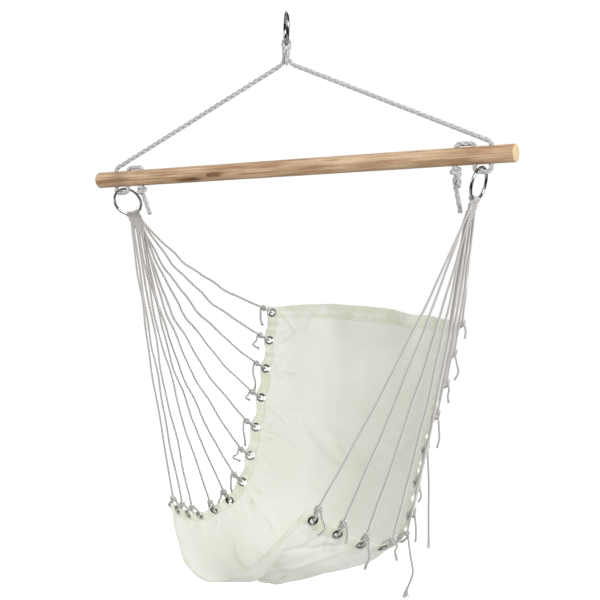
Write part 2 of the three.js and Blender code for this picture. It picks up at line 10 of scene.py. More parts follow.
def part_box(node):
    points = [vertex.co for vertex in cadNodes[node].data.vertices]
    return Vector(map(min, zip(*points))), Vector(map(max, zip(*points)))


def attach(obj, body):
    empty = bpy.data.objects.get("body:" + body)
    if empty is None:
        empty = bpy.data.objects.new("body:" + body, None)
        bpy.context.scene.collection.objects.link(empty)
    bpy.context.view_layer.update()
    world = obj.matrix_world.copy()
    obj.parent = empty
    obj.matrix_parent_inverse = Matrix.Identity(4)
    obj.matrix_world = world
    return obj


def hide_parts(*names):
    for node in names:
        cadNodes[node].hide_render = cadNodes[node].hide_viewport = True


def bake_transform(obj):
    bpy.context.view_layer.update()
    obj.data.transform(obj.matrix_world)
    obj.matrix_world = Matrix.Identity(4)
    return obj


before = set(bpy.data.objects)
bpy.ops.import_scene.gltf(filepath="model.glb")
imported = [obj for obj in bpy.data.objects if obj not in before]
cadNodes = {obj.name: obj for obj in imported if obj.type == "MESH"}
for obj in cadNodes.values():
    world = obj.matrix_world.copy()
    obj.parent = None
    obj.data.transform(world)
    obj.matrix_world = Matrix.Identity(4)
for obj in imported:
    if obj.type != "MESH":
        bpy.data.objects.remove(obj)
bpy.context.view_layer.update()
sides = {"left": -1, "right": 1}
stationCount = 12


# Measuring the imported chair

def vertexArray(name):
    mesh = cadNodes[name].data
    points = np.zeros(len(mesh.vertices) * 3)
    mesh.vertices.foreach_get("co", points)
    return points.reshape(-1, 3)


def nodeCentre(name):
    low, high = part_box(name)
    return np.array((low + high) / 2)


def pieceName(kind, side, station):
    return f"{kind}_{side}_{station + 1:02d}"


def shownName(kind, side, station=None):
    return kind + side.capitalize() + ("" if station is None else f"{station + 1:02d}")


def unit(vector):
    return vector / np.linalg.norm(vector)


# Sizes that the cords, rings and cloth share, in metres
chair = {
    "barRadius": 0.0175,
    "outerHole": 0.450,
    "middleHole": 0.417,
    "innerHole": 0.378,
    "barDrop": 0.320,
    "ringRadius": 0.032,
    "ringWire": 0.003,
    "ropeDiameter": 0.010,
    "lineDiameter": 0.005,
    "bightPlay": 0.0032,
    "ringGap": 0.0003,
    "ringTurn": 30,              # degrees between the hanging ring's axis and the bar
    "seatTurn": 10,              # degrees the seat hangs turned under the bar
    "seatReach": 0.225,
    "seatDrop": 0.736,
}
bightDrop = (chair["barDrop"] + chair["barRadius"] + 2 * chair["ringWire"]
             + chair["ropeDiameter"] / 2 + chair["bightPlay"])


# Paths and meshes

def rounded(corners, bend, steps=6):
    corners = [np.array(c, float) for c in corners]
    route = [corners[0]]
    for before, corner, after in zip(corners, corners[1:], corners[2:]):
        into, out = unit(corner - before), unit(after - corner)
        turn = math.acos(max(-1, min(1, into @ out)))
        centre = corner + unit(out - into) * bend / math.cos(turn / 2)
        start = corner - into * bend * math.tan(turn / 2) - centre
        axis = Vector(np.cross(into, out)).normalized()
        for k in range(steps + 1):
            swung = Matrix.Rotation(turn * k / steps, 3, axis) @ Vector(start)
            route.append(centre + np.array(swung))
    route.append(corners[-1])
    return np.array(route)


def runLengths(route):
    # how far along the route each of its points lies
    return np.concatenate([[0], np.cumsum(np.linalg.norm(np.diff(route, axis=0), axis=1))])


def evenly(route, step):
    route = np.array(route, float)
    gaps = np.linalg.norm(np.diff(route, axis=0), axis=1)
    route = route[np.concatenate([[True], gaps > 1e-6])]
    along = runLengths(route)
    places = np.linspace(0, along[-1], max(3, round(along[-1] / step) + 1))
    return np.stack([np.interp(places, along, route[:, k]) for k in range(3)], axis=1)


def flowing(corners, step, between=24):
    # a smooth curve through every corner, then points a step apart
    p = np.array(corners, float)
    p = np.vstack([2 * p[0] - p[1], p, 2 * p[-1] - p[-2]])
    out = []
    for a, b, c, d in zip(p, p[1:], p[2:], p[3:]):
        ta = max(np.linalg.norm(b - a), 1e-6) ** 0.5
        tb = max(np.linalg.norm(c - b), 1e-6) ** 0.5
        tc = max(np.linalg.norm(d - c), 1e-6) ** 0.5
        slopeB = (c - b) / tb - (c - a) / (ta + tb) + (b - a) / ta
        slopeC = (d - c) / tc - (d - b) / (tb + tc) + (c - b) / tb
        for t in np.linspace(0, 1, between, endpoint=False):
            out.append((2 * t**3 - 3 * t**2 + 1) * b + (t**3 - 2 * t**2 + t) * slopeB * tb
                       + (3 * t**2 - 2 * t**3) * c + (t**3 - t**2) * slopeC * tb)
    out.append(p[-2])
    return evenly(out, step)


def framesAlong(path):
    # two axes square to the path that turn as little as they can
    ways = np.gradient(path, axis=0)
    ways /= np.linalg.norm(ways, axis=1)[:, None]
    side = np.cross(ways[0], [0, 0, 1] if abs(ways[0][2]) < 0.9 else [0, 1, 0])
    across = np.empty_like(path)
    for i, way in enumerate(ways):
        side = unit(side - way * (side @ way))
        across[i] = side
    return across, np.cross(ways, across)


def tubeMesh(strands, sidesRound):
    # strands is a list of (centres, outward axes, sideways axes, outward radius, sideways radius)
    points, faces, mapped, first = [], [], [], 0
    turns = np.arange(sidesRound) * 2 * math.pi / sidesRound
    for centres, outward, sideways, thick, wide in strands:
        rings = (centres[:, None] + outward[:, None] * (np.cos(turns) * thick)[None, :, None]
                 + sideways[:, None] * (np.sin(turns) * wide)[None, :, None])
        count = len(centres)
        points.append(rings.reshape(-1, 3))
        start = first + np.arange(count - 1)[:, None] * sidesRound
        k = np.arange(sidesRound)[None, :]
        n = (k + 1) % sidesRound
        quads = np.stack([start + k, start + n, start + n + sidesRound,
                          start + k + sidesRound], axis=2)
        faces += quads.reshape(-1, 4).tolist()
        faces += [list(range(first + sidesRound - 1, first - 1, -1)),
                  list(range(first + (count - 1) * sidesRound, first + count * sidesRound))]
        along = runLengths(centres)
        mapped.append(np.stack([np.repeat(along, sidesRound),
                                np.tile(turns / (2 * math.pi), count)], axis=1))
        first += count * sidesRound
    return np.vstack(points), faces, np.vstack(mapped)


def sweptFaces(rings, around, closed=False, flipped=False):
    # quads from each ring of points to the next, and from the last to the first when closed
    faces = []
    for i in range(rings if closed else rings - 1):
        here, there = i * around, (i + 1) % rings * around
        for k in range(around):
            n = (k + 1) % around
            a, b, c, d = here + k, here + n, there + n, there + k
            faces.append((a, b, c, d) if flipped else (a, d, c, b))
    return faces


def addMap(mesh, name, values):
    # one place on the map for each point, handed to every corner there
    layer = mesh.uv_layers.new(name=name)
    corners = np.zeros(len(mesh.loops), np.int32)
    mesh.loops.foreach_get("vertex_index", corners)
    places = np.asarray(values, np.float32).reshape(-1, 2)
    layer.data.foreach_set("uv", places[corners].ravel())


def addMesh(name, points, faces, material, mapped=None):
    mesh = bpy.data.meshes.new(name)
    mesh.from_pydata(np.asarray(points).tolist(), [], [list(f) for f in faces])
    mesh.validate()
    mesh.polygons.foreach_set("use_smooth", [True] * len(mesh.polygons))
    if mapped is not None:
        addMap(mesh, "UVMap", mapped)
    mesh.materials.append(material)
    piece = bpy.data.objects.new(name, mesh)
    bpy.context.scene.collection.objects.link(piece)
    return piece


def addTube(name, strands, sidesRound, material):
    points, faces, mapped = tubeMesh(strands, sidesRound)
    return addMesh(name, points, faces, material, mapped)


def applied(piece):
    # the piece with its modifiers worked into its mesh
    depsgraph = bpy.context.evaluated_depsgraph_get()
    mesh = bpy.data.meshes.new_from_object(piece.evaluated_get(depsgraph))
    piece.modifiers.clear()
    piece.data = mesh


def smoothShare(value):
    value = np.clip(value, 0, 1)
    return value * value * (3 - 2 * value)


# A strand's thickness and weave as shares of the cord's radius, and where a cut end opens out
strand = {"twistThick": 0.485, "twistWide": 1.08, "opens": 0.010,
          "plaitThick": 0.36, "plaitWide": 0.56, "plaitWeave": 0.16}


def twistedStrands(path, radius, lay, count=3, start=0.0, flare=0.0):
    side, up = framesAlong(path)
    along = runLengths(path)
    thick = radius * strand["twistThick"]
    near = np.clip((along - along[-1] + strand["opens"]) / strand["opens"], 0, 1)
    opened = 1 + flare * near ** 2
    strands = []
    for k in range(count):
        angle = 2 * math.pi * (k / count + along / lay) + start
        outward = side * np.cos(angle)[:, None] + up * np.sin(angle)[:, None]
        centres = path + outward * ((radius - thick) * opened)[:, None]
        sideways = np.cross(np.gradient(centres, axis=0), outward)
        sideways /= np.linalg.norm(sideways, axis=1)[:, None]
        strands.append((centres, outward, sideways, thick, thick * strand["twistWide"]))
    return strands


def plaitedStrands(path, radius, lay, pairs=3):
    side, up = framesAlong(path)
    along = runLengths(path)
    thick, wide, weave = (radius * strand[k] for k in ("plaitThick", "plaitWide", "plaitWeave"))
    strands = []
    for hand in (1, -1):
        for k in range(pairs):
            angle = hand * 2 * math.pi * along / lay + 2 * math.pi * k / pairs
            lift = hand * weave * np.cos(2 * math.pi * pairs * along / lay)
            outward = side * np.cos(angle)[:, None] + up * np.sin(angle)[:, None]
            centres = path + outward * (radius - thick - weave + lift)[:, None]
            sideways = np.cross(np.gradient(centres, axis=0), outward)
            sideways /= np.linalg.norm(sideways, axis=1)[:, None]
            strands.append((centres, outward, sideways, thick, wide))
    return strands


def roundStrand(path, radius):
    side, up = framesAlong(path)
    return (path, side, up, radius, radius)


# Shader groups that several finishes share

def feed(tree, socket, value):
    # a number or a colour goes on the socket itself, anything else is linked to it
    if isinstance(value, (int, float, tuple)):
        socket.default_value = value
    else:
        tree.links.new(value, socket)


def newGroup(name, inputs, outputs):
    group = bpy.data.node_groups.new(name, "ShaderNodeTree")
    for label, kind, value in inputs:
        socket = group.interface.new_socket(name=label, in_out="INPUT",
                                            socket_type="NodeSocket" + kind)
        if value is not None:
            socket.default_value = value
    for label, kind in outputs:
        group.interface.new_socket(name=label, in_out="OUTPUT", socket_type="NodeSocket" + kind)
    given = group.nodes.new("NodeGroupInput").outputs
    return group, given, group.nodes.new("NodeGroupOutput").inputs


def mathNode(tree, operation, *values):
    node = tree.nodes.new("ShaderNodeMath")
    node.operation = operation
    for socket, value in zip(node.inputs, values):
        feed(tree, socket, value)
    return node.outputs[0]


def plus(tree, first, second):
    return mathNode(tree, "ADD", first, second)


def times(tree, first, second):
    return mathNode(tree, "MULTIPLY", first, second)


def mixColours(tree, share, first, second):
    node = tree.nodes.new("ShaderNodeMix")
    node.data_type = "RGBA"
    for name, value in (("Factor", share), ("A", first), ("B", second)):
        feed(tree, node.inputs[name], value)
    return node.outputs["Result"]


def clamped(tree, value):
    node = tree.nodes.new("ShaderNodeClamp")
    tree.links.new(value, node.inputs["Value"])
    return node.outputs[0]


def splitVector(tree, vector):
    node = tree.nodes.new("ShaderNodeSeparateXYZ")
    tree.links.new(vector, node.inputs[0])
    return node.outputs


def mapPlace(tree, name):
    # the map is the mesh's own, by name
    node = tree.nodes.new("ShaderNodeUVMap")
    node.uv_map = name
    return node.outputs[0]


def colourRamp(tree, value, stops):
    node = tree.nodes.new("ShaderNodeValToRGB")
    while len(node.color_ramp.elements) < len(stops):
        node.color_ramp.elements.new(0.5)
    for element, (place, colour) in zip(node.color_ramp.elements, stops):
        element.position = place
        element.color = colour if isinstance(colour, tuple) else (colour, colour, colour, 1)
    tree.links.new(value, node.inputs[0])
    return node.outputs["Color"]


def noiseNode(tree, vector, scale, detail=3.0, roughness=0.5):
    node = tree.nodes.new("ShaderNodeTexNoise")
    node.inputs["Scale"].default_value = scale
    node.inputs["Detail"].default_value = detail
    node.inputs["Roughness"].default_value = roughness
    tree.links.new(vector, node.inputs["Vector"])
    return node.outputs["Fac"]


def mappedVector(tree, vector, kind="POINT", **values):
    node = tree.nodes.new("ShaderNodeMapping")
    node.vector_type = kind
    for name, value in values.items():
        node.inputs[name].default_value = value
    tree.links.new(vector, node.inputs["Vector"])
    return node.outputs["Vector"]


def stretchedNoise(tree, vector, scale, detail=3.0, roughness=0.5):
    return noiseNode(tree, mappedVector(tree, vector, Scale=scale), 1.0, detail, roughness)


def objectPlace(tree):
    return tree.nodes.new("ShaderNodeTexCoord").outputs["Object"]


def linear(red, green, blue):
    # a colour as a picture shows it, turned into the shader's own
    def channel(c):
        c /= 255
        return c / 12.92 if c <= 0.04045 else ((c + 0.055) / 1.055) ** 2.4
    return (channel(red), channel(green), channel(blue), 1.0)


soilLook = {"detail": 4, "floor": 0.42, "rise": 3.0}


def makeSoilGroup():
    # broad uneven patches, for anything that has been handled
    group, given, shown = newGroup(
        "soiling", [("Colour", "Color", None), ("Soil Colour", "Color", None),
                    ("Patch Scale", "Float", 6.0), ("Amount", "Float", 0.3)],
        [("Colour", "Color")])
    patches = group.nodes.new("ShaderNodeTexNoise")
    patches.inputs["Detail"].default_value = soilLook["detail"]
    group.links.new(objectPlace(group), patches.inputs["Vector"])
    group.links.new(given["Patch Scale"], patches.inputs["Scale"])
    broad = mathNode(group, "SUBTRACT", patches.outputs["Fac"], soilLook["floor"])
    broad = clamped(group, times(group, broad, soilLook["rise"]))
    share = times(group, broad, given["Amount"])
    soiled = mixColours(group, share, given["Colour"], given["Soil Colour"])
    group.links.new(soiled, shown["Colour"])
    return group


# crown and crownFloor set the painted shade round each strand, darkest on the side where strands
# meet
fibreLook = {"slant": 260.0, "fuzz": 2600.0, "crown": 0.80, "crownFloor": 0.38,
             "threadShare": 0.35, "threadFloor": -0.25}


def makeFibreGroup():
    # fine threads along a strand, from its own map of length and turn, with painted shade where
    # strands meet
    group, given, shown = newGroup("cotton fibres", [("Threads", "Float", 9.0)],
                                   [("Height", "Float"), ("Shade", "Float")])
    length, turn, _ = splitVector(group, group.nodes.new("ShaderNodeTexCoord").outputs["UV"])
    phase = plus(group, times(group, turn, given["Threads"]),
                 times(group, length, fibreLook["slant"]))
    wave = mathNode(group, "SINE", times(group, phase, 2 * math.pi))
    wave = mathNode(group, "MULTIPLY_ADD", wave, 0.5, 0.5)
    height = plus(group, wave, noiseNode(group, objectPlace(group), fibreLook["fuzz"], 2.0))
    group.links.new(height, shown["Height"])
    crown = mathNode(group, "COSINE", times(group, turn, 2 * math.pi))
    crown = mathNode(group, "MULTIPLY_ADD", crown, fibreLook["crown"], fibreLook["crownFloor"])
    threads = mathNode(group, "MULTIPLY_ADD", height, fibreLook["threadShare"],
                       fibreLook["threadFloor"])
    group.links.new(clamped(group, plus(group, crown, threads)), shown["Shade"])
    return group


scratchLook = {"stretch": (900, 900, 60), "detail": 4.0}


def makeScratchGroup():
    # hairlines up and down polished metal, as roughness and as height
    group, given, shown = newGroup(
        "hairline scratches", [("Roughness", "Float", 0.1), ("Scratches", "Float", 0.1)],
        [("Roughness", "Float"), ("Height", "Float")])
    hairs = stretchedNoise(group, objectPlace(group), scratchLook["stretch"], scratchLook["detail"])
    least = mathNode(group, "SUBTRACT", given["Roughness"], times(group, given["Scratches"], 0.5))
    rough = plus(group, times(group, hairs, given["Scratches"]), least)
    group.links.new(rough, shown["Roughness"])
    group.links.new(hairs, shown["Height"])
    return group


def newMaterial(name):
    material = bpy.data.materials.new(name)
    material.use_nodes = True
    shader = material.node_tree.nodes["Principled BSDF"]
    return material, material.node_tree, shader


def placeGroup(tree, group, **values):
    node = tree.nodes.new("ShaderNodeGroup")
    node.node_tree = group
    for key, value in values.items():
        feed(tree, node.inputs[key.replace("_", " ")], value)
    return node.outputs


def addSoil(tree, colour, soil, scale, amount):
    return placeGroup(tree, soiling, Colour=colour, Soil_Colour=linear(*soil), Patch_Scale=scale,
                      Amount=amount)["Colour"]


def finish(tree, shader, colour, roughness, height, bump, bumpReach):
    feed(tree, shader.inputs["Base Color"], colour)
    feed(tree, shader.inputs["Roughness"], roughness)
    relief = tree.nodes.new("ShaderNodeBump")
    relief.inputs["Strength"].default_value = bump
    relief.inputs["Distance"].default_value = bumpReach
    tree.links.new(height, relief.inputs["Height"])
    tree.links.new(relief.outputs["Normal"], shader.inputs["Normal"])


soiling, fibres, scratches = makeSoilGroup(), makeFibreGroup(), makeScratchGroup()


# Finishes

cottonLook = {
    # hollow is the colour of the painted shade between strands
    "rope": {"colour": (232, 231, 231), "hollow": (104, 103, 103), "soil": (198, 195, 190),
             "threads": 7.0, "amount": 0.35},
    "line": {"colour": (251, 248, 245), "hollow": (112, 107, 105), "soil": (208, 200, 194),
             "threads": 5.0, "amount": 0.4},
    "patches": 9.0, "roughness": 0.9, "sheen": 0.25, "bump": 0.55, "bumpReach": 0.0003,
}


def makeCotton(name):
    look = cottonLook[name]
    material, tree, shader = newMaterial("cotton " + name)
    fibre = placeGroup(tree, fibres, Threads=look["threads"])
    # painted shade: the hollow colour fills the grooves between strands
    base = mixColours(tree, fibre["Shade"], linear(*look["hollow"]), linear(*look["colour"]))
    base = addSoil(tree, base, look["soil"], cottonLook["patches"], look["amount"])
    finish(tree, shader, base, cottonLook["roughness"], fibre["Height"], cottonLook["bump"],
           cottonLook["bumpReach"])
    shader.inputs["Sheen Weight"].default_value = cottonLook["sheen"]
    return material


chromeLook = {
    "ring": {"colour": (196, 198, 203), "roughness": 0.09, "scratches": 0.08},
    "grommet": {"colour": (205, 205, 205), "roughness": 0.16, "scratches": 0.14},
    "soil": (150, 148, 146), "patches": 60.0, "amount": 0.35, "bump": 0.05, "bumpReach": 0.0002,
}


def makeChrome(name):
    look = chromeLook[name]
    material, tree, shader = newMaterial("polished " + name)
    base = addSoil(tree, linear(*look["colour"]), chromeLook["soil"], chromeLook["patches"],
                   chromeLook["amount"])
    hairs = placeGroup(tree, scratches, Roughness=look["roughness"], Scratches=look["scratches"])
    finish(tree, shader, base, hairs["Roughness"], hairs["Height"], chromeLook["bump"],
           chromeLook["bumpReach"])
    shader.inputs["Metallic"].default_value = 1.0
    return material


woodLook = {
    "light": (228, 198, 162), "middle": (204, 168, 131), "dark": (168, 127, 91),
    "pore": (150, 112, 80), "endGrain": (240, 219, 172), "roughness": 0.38, "roughShare": 0.25,
    # place on the bar, half length, half width, how strong, and which colour
    "marks": [((-0.243, -0.0122, -0.0124), 0.042, 0.0074, 1.0, "stain"),
              ((-0.226, -0.0126, -0.0120), 0.017, 0.0052, 0.9, "burn"),
              ((-0.170, -0.0163, -0.0060), 0.028, 0.0070, 1.0, "stain"),
              ((-0.186, -0.0163, -0.0070), 0.008, 0.0052, 1.0, "burn"),
              ((-0.206, -0.0150, -0.0085), 0.024, 0.0110, 0.5, "scuff"),
              ((-0.434, -0.0120, 0.0000), 0.032, 0.0340, 0.55, "scuff"),
              ((0.120, -0.0150, 0.0080), 0.030, 0.0030, 0.4, "stain"),
              ((0.310, 0.0150, 0.0060), 0.012, 0.0040, 0.8, "stain")],
    "stain": (122, 74, 40), "burn": (74, 46, 28), "scuff": (150, 121, 97), "ragged": 2.0,
    # edgeShade is painted shade on the faces turned up and down
    "edgeShade": (150, 124, 100), "edgeShadeShare": 0.6, "poreShare": 0.3,
    "grainStops": (0.41, 0.50, 0.60), "poreStops": [(0.36, 1.0), (0.46, 0.0)],
    "endStops": [(0.55, 0.0), (0.85, 1.0)], "edgeShadeFrom": 0.85,
    # noise along and across the bar, with its detail and roughness
    "streak": ((6, 330, 330), 5.0, 0.6), "fine": ((40, 1900, 1900), 3.0, 0.6),
    "broad": ((9, 48, 48), 3.0, 0.5), "streakShare": 0.55, "broadShare": 0.45,
    "ringScale": 95, "ringWobble": 1.5, "ringShare": 0.35, "pith": (0, 0.012, 0.006),
    "soil": (172, 138, 108), "patches": 22.0, "amount": 0.25, "bump": 0.25, "bumpReach": 0.0004,
}


def markMask(tree, place, streak, spot, length, width, strength):
    # a blot drawn out along the grain
    x, y, z = spot
    local = mappedVector(tree, place, "TEXTURE", Location=(x, y, z - chair["barDrop"]),
                         Scale=(length, width, width))
    reach = tree.nodes.new("ShaderNodeVectorMath")
    reach.operation = "LENGTH"
    tree.links.new(local, reach.inputs[0])
    ragged = times(tree, mathNode(tree, "SUBTRACT", streak, 0.5), woodLook["ragged"])
    ragged = plus(tree, reach.outputs["Value"], ragged)
    return colourRamp(tree, ragged, [(0.0, strength), (0.4, strength * 0.85), (1.0, 0.0)])


def endGrain(tree, place):
    rings = tree.nodes.new("ShaderNodeTexWave")
    rings.wave_type = "RINGS"
    rings.rings_direction = "X"
    rings.inputs["Scale"].default_value = woodLook["ringScale"]
    rings.inputs["Distortion"].default_value = woodLook["ringWobble"]
    x, y, z = woodLook["pith"]
    centred = mappedVector(tree, place, Location=(x, y, z + chair["barDrop"]))
    tree.links.new(centred, rings.inputs["Vector"])
    share = times(tree, rings.outputs["Fac"], woodLook["ringShare"])
    return mixColours(tree, share, linear(*woodLook["endGrain"]), linear(*woodLook["middle"]))


def makeWood():
    look = woodLook
    material, tree, shader = newMaterial("turned beech")
    place = objectPlace(tree)
    centred = mappedVector(tree, place, Location=(0, 0, chair["barDrop"]))
    streak, fine, broad = (stretchedNoise(tree, centred, *look[name])
                           for name in ("streak", "fine", "broad"))
    grain = plus(tree, times(tree, streak, look["streakShare"]),
                 times(tree, broad, look["broadShare"]))
    tones = [linear(*look[tone]) for tone in ("dark", "middle", "light")]
    base = colourRamp(tree, grain, list(zip(look["grainStops"], tones)))
    pores = times(tree, colourRamp(tree, fine, look["poreStops"]), look["poreShare"])
    base = mixColours(tree, pores, base, linear(*look["pore"]))
    for spot, length, width, strength, colour in look["marks"]:
        mask = markMask(tree, place, streak, spot, length, width, strength)
        base = mixColours(tree, mask, base, linear(*look[colour]))
    # painted shade: the faces turned up or down, at the bar's top and bottom outlines, drawn darker
    normal = splitVector(tree, tree.nodes.new("ShaderNodeNewGeometry").outputs["Normal"])
    above = colourRamp(tree, mathNode(tree, "ABSOLUTE", normal["Z"]),
                       [(look["edgeShadeFrom"], 0.0), (1.0, look["edgeShadeShare"])])
    base = mixColours(tree, above, base, linear(*look["edgeShade"]))
    ends = colourRamp(tree, mathNode(tree, "ABSOLUTE", normal["X"]), look["endStops"])
    base = mixColours(tree, ends, base, endGrain(tree, place))
    base = addSoil(tree, base, look["soil"], look["patches"], look["amount"])
    rough = mathNode(tree, "MULTIPLY_ADD", streak, look["roughShare"], look["roughness"])
    finish(tree, shader, base, rough, plus(tree, streak, fine), look["bump"], look["bumpReach"])
    return material


clothLook = {
    "colour": (244, 246, 239), "weft": (235, 238, 229), "soil": (230, 234, 214),
    # hemTint is painted shade for the hem's gathers
    "hemTint": (226, 230, 206), "stitch": (204, 208, 184), "threadPitch": 0.0011,
    # worn is the colour of the painted shade in creases, gathers and the seat's hollow
    "worn": (204, 209, 178), "paintedShadeShare": 0.8,
    "roughness": 0.92, "hemWidth": 0.024, "stitchAt": 0.021, "stitchWidth": 0.0007,
    "stitchPitch": 0.0036, "stitchShare": 0.4, "hemSoft": 0.0012, "stitchSoft": 0.0006,
    "overShare": 0.5, "slubShare": 0.7, "patches": 7.0, "amount": 0.6,
    "sheen": 0.2, "bump": 0.5, "bumpReach": 0.0034,
    # scale and detail of the noise behind each
    "slubs": ((40, 40, 520), 4.0), "hemMottle": (34, 3.0),
    "paintedShadePatches": (38.0, 4.0), "cockle": (32.0, 5.0), "hemGather": (90.0, 2.0),
    "mottleStops": [(0.36, 0.0), (0.5, 0.45), (0.64, 0.95)],
    "paintedShadeStops": [(0.38, 0.1), (0.62, 0.9)],
    "dashFrom": -0.4, "overHeight": 0.12, "hemHeight": 0.2, "seamSunk": 0.3,
}


def nearBand(tree, distance, middle, halfWidth, soft):
    # one inside the band, falling to nothing over the soft width
    away = mathNode(tree, "ABSOLUTE", mathNode(tree, "SUBTRACT", distance, middle))
    node = tree.nodes.new("ShaderNodeMapRange")
    node.inputs["From Min"].default_value = halfWidth
    node.inputs["From Max"].default_value = halfWidth + soft
    node.inputs["To Min"].default_value = 1
    node.inputs["To Max"].default_value = 0
    tree.links.new(away, node.inputs["Value"])
    return node.outputs["Result"]


def makeCanvas():
    look = clothLook
    material, tree, shader = newMaterial("cotton canvas")
    across, along, _ = splitVector(tree, tree.nodes.new("ShaderNodeTexCoord").outputs["UV"])
    turns = math.pi / look["threadPitch"]
    warp = mathNode(tree, "SINE", times(tree, across, turns))
    weft = mathNode(tree, "SINE", times(tree, along, turns))
    over = mathNode(tree, "ABSOLUTE", times(tree, warp, weft))
    slubs = stretchedNoise(tree, objectPlace(tree), *look["slubs"])
    shade = plus(tree, times(tree, over, look["overShare"]), times(tree, slubs, look["slubShare"]))
    base = mixColours(tree, shade, linear(*look["weft"]), linear(*look["colour"]))
    base = addSoil(tree, base, look["soil"], look["patches"], look["amount"])

    # hems, with a broken line of stitches, from the distance to the nearest edges
    sideEdge, endEdge, _ = splitVector(tree, mapPlace(tree, "hem"))
    nearest = mathNode(tree, "MINIMUM", sideEdge, endEdge)
    hem = nearBand(tree, nearest, 0.0, look["hemWidth"], look["hemSoft"])
    seam = nearBand(tree, nearest, look["stitchAt"], look["stitchWidth"], look["stitchSoft"])
    # the hem painted darker and yellower in mottled patches, painted shade standing for its gathers
    mottle = noiseNode(tree, objectPlace(tree), *look["hemMottle"])
    mottled = colourRamp(tree, mottle, look["mottleStops"])
    base = mixColours(tree, times(tree, hem, mottled), base, linear(*look["hemTint"]))
    run = times(tree, plus(tree, across, along), 2 * math.pi / look["stitchPitch"])
    dashes = mathNode(tree, "GREATER_THAN", mathNode(tree, "SINE", run), look["dashFrom"])
    stitches = times(tree, times(tree, seam, dashes), look["stitchShare"])
    base = mixColours(tree, stitches, base, linear(*look["stitch"]))

    # painted shade in the grooves of creases and gathers and in the seat's hollow, broken into
    # patches
    worn = times(tree, splitVector(tree, mapPlace(tree, "worn"))["X"], look["paintedShadeShare"])
    patchy = noiseNode(tree, objectPlace(tree), *look["paintedShadePatches"])
    worn = times(tree, worn, colourRamp(tree, patchy, look["paintedShadeStops"]))
    base = mixColours(tree, worn, base, linear(*look["worn"]))

    cockle = noiseNode(tree, objectPlace(tree), *look["cockle"])
    gather = noiseNode(tree, objectPlace(tree), *look["hemGather"])
    height = plus(tree, times(tree, over, look["overHeight"]), cockle)
    height = plus(tree, height, times(tree, hem, look["hemHeight"]))
    height = plus(tree, height, times(tree, hem, gather))
    height = mathNode(tree, "SUBTRACT", height, times(tree, seam, look["seamSunk"]))
    finish(tree, shader, base, look["roughness"], height, look["bump"], look["bumpReach"])
    shader.inputs["Sheen Weight"].default_value = look["sheen"]
    return material


ropeCotton, lineCotton = makeCotton("rope"), makeCotton("line")
ringChrome, grommetNickel = makeChrome("ring"), makeChrome("grommet")
barWood, canvas = makeWood(), makeCanvas()
print("finishes made")


# Camera, level, thirty degrees round from the front

cameraView = {
    "azimuth": 30, "lens": 69.2, "sensor": 36, "place": (1.2265, -2.0678, -0.595),
}


def addCamera():
    data = bpy.data.cameras.new("camera")
    data.lens = cameraView["lens"]
    data.sensor_width = cameraView["sensor"]
    camera = bpy.data.objects.new("camera", data)
    camera.location = cameraView["place"]
    camera.rotation_euler = (math.radians(90), 0, math.radians(cameraView["azimuth"]))
    bpy.context.scene.collection.objects.link(camera)
    bpy.context.scene.camera = camera


addCamera()


# The seat's frame: where the grommets are, and which way the cloth lies at each

seat = {
    "spans": (0.985, 1, 1, 1, 1, 1, 0.98, 0.955, 0.94, 0.92, 0.895, 0.88),
    "span": 0.520,               # flat cloth from grommet row to grommet row
    "backs": (0.650, 0.580, 0.500, 0.400, 0.290, 0.190, 0.080, -0.090, -0.320, -0.560,
              -0.785, -1.000),
    "downs": (0.432, 0.515, 0.599, 0.685, 0.771, 0.855, 0.935, 0.987, 1.000, 0.994,
              0.968, 0.935),
    "edgeMargin": 0.013, "topMargin": 0.013, "frontMargin": 0.024,
    "wide": 0.546, "long": 0.700, "rowPitch": 0.061,
}


def sagOf(chord, span):
    low, high = 0.0001, 1.0
    for _ in range(40):
        middle = (low + high) / 2
        slope = 4 * middle
        root = math.sqrt(1 + slope * slope)
        arc = chord / 2 * (root + math.log(slope + root) / slope)
        low, high = (middle, high) if arc < span else (low, middle)
    return chord * low


def seatRows():
    turn = math.radians(-chair["seatTurn"])
    ahead = np.array([-math.sin(turn), math.cos(turn), 0])
    rows = []
    for station in range(stationCount):
        before, after = max(station - 1, 0), min(station + 1, stationCount - 1)
        back = (seat["backs"][after] - seat["backs"][before]) * chair["seatReach"]
        up = -(seat["downs"][after] - seat["downs"][before]) * chair["seatDrop"]
        length = math.hypot(back, up)
        left, right = (nodeCentre(pieceName("grommet", s, station)) for s in sides)
        chord = float(np.linalg.norm(right - left))
        rows.append({
            "left": left, "right": right,
            "sag": sagOf(chord, seat["spans"][station] * seat["span"]),
            "down": ahead * -up / length + np.array([0, 0, back / length]),
        })
    return rows


def padAt(rows, side, station):
    row = rows[station]
    before, after = rows[max(station - 1, 0)], rows[min(station + 1, stationCount - 1)]
    other = "right" if side == "left" else "left"
    inward = unit(row[other] - row[side] + row["down"] * 4 * row["sag"])
    forward = after[side] - before[side]
    edge = unit(forward - inward * (forward @ inward))
    face = unit(np.cross(edge, inward)) * -sides[side]
    return {"centre": row[side], "inward": inward, "edge": edge, "face": face}


rows = seatRows()
pads = {s: [padAt(rows, s, station) for station in range(stationCount)] for s in sides}


def fanFrame(side):
    centre = vertexArray("side_ring_" + side).mean(axis=0)
    bight = np.array([sides[side] * (chair["outerHole"] + chair["middleHole"]) / 2, 0, -bightDrop])
    middle = np.mean([pad["centre"] for pad in pads[side]], axis=0)
    down = unit(middle - bight)
    spread = unit(pads[side][0]["centre"] - bight) - unit(pads[side][-1]["centre"] - bight)
    across = unit(spread - down * (spread @ down))
    return {"centre": centre, "down": down, "across": across, "square": np.cross(across, down)}


fans = {side: fanFrame(side) for side in sides}


def fanPoint(fan, out, down, off):
    return fan["centre"] + fan["across"] * out + fan["down"] * down + fan["square"] * off


# Suspension rope: hitch over the ring, a leg to each side, stopper knots and free ends

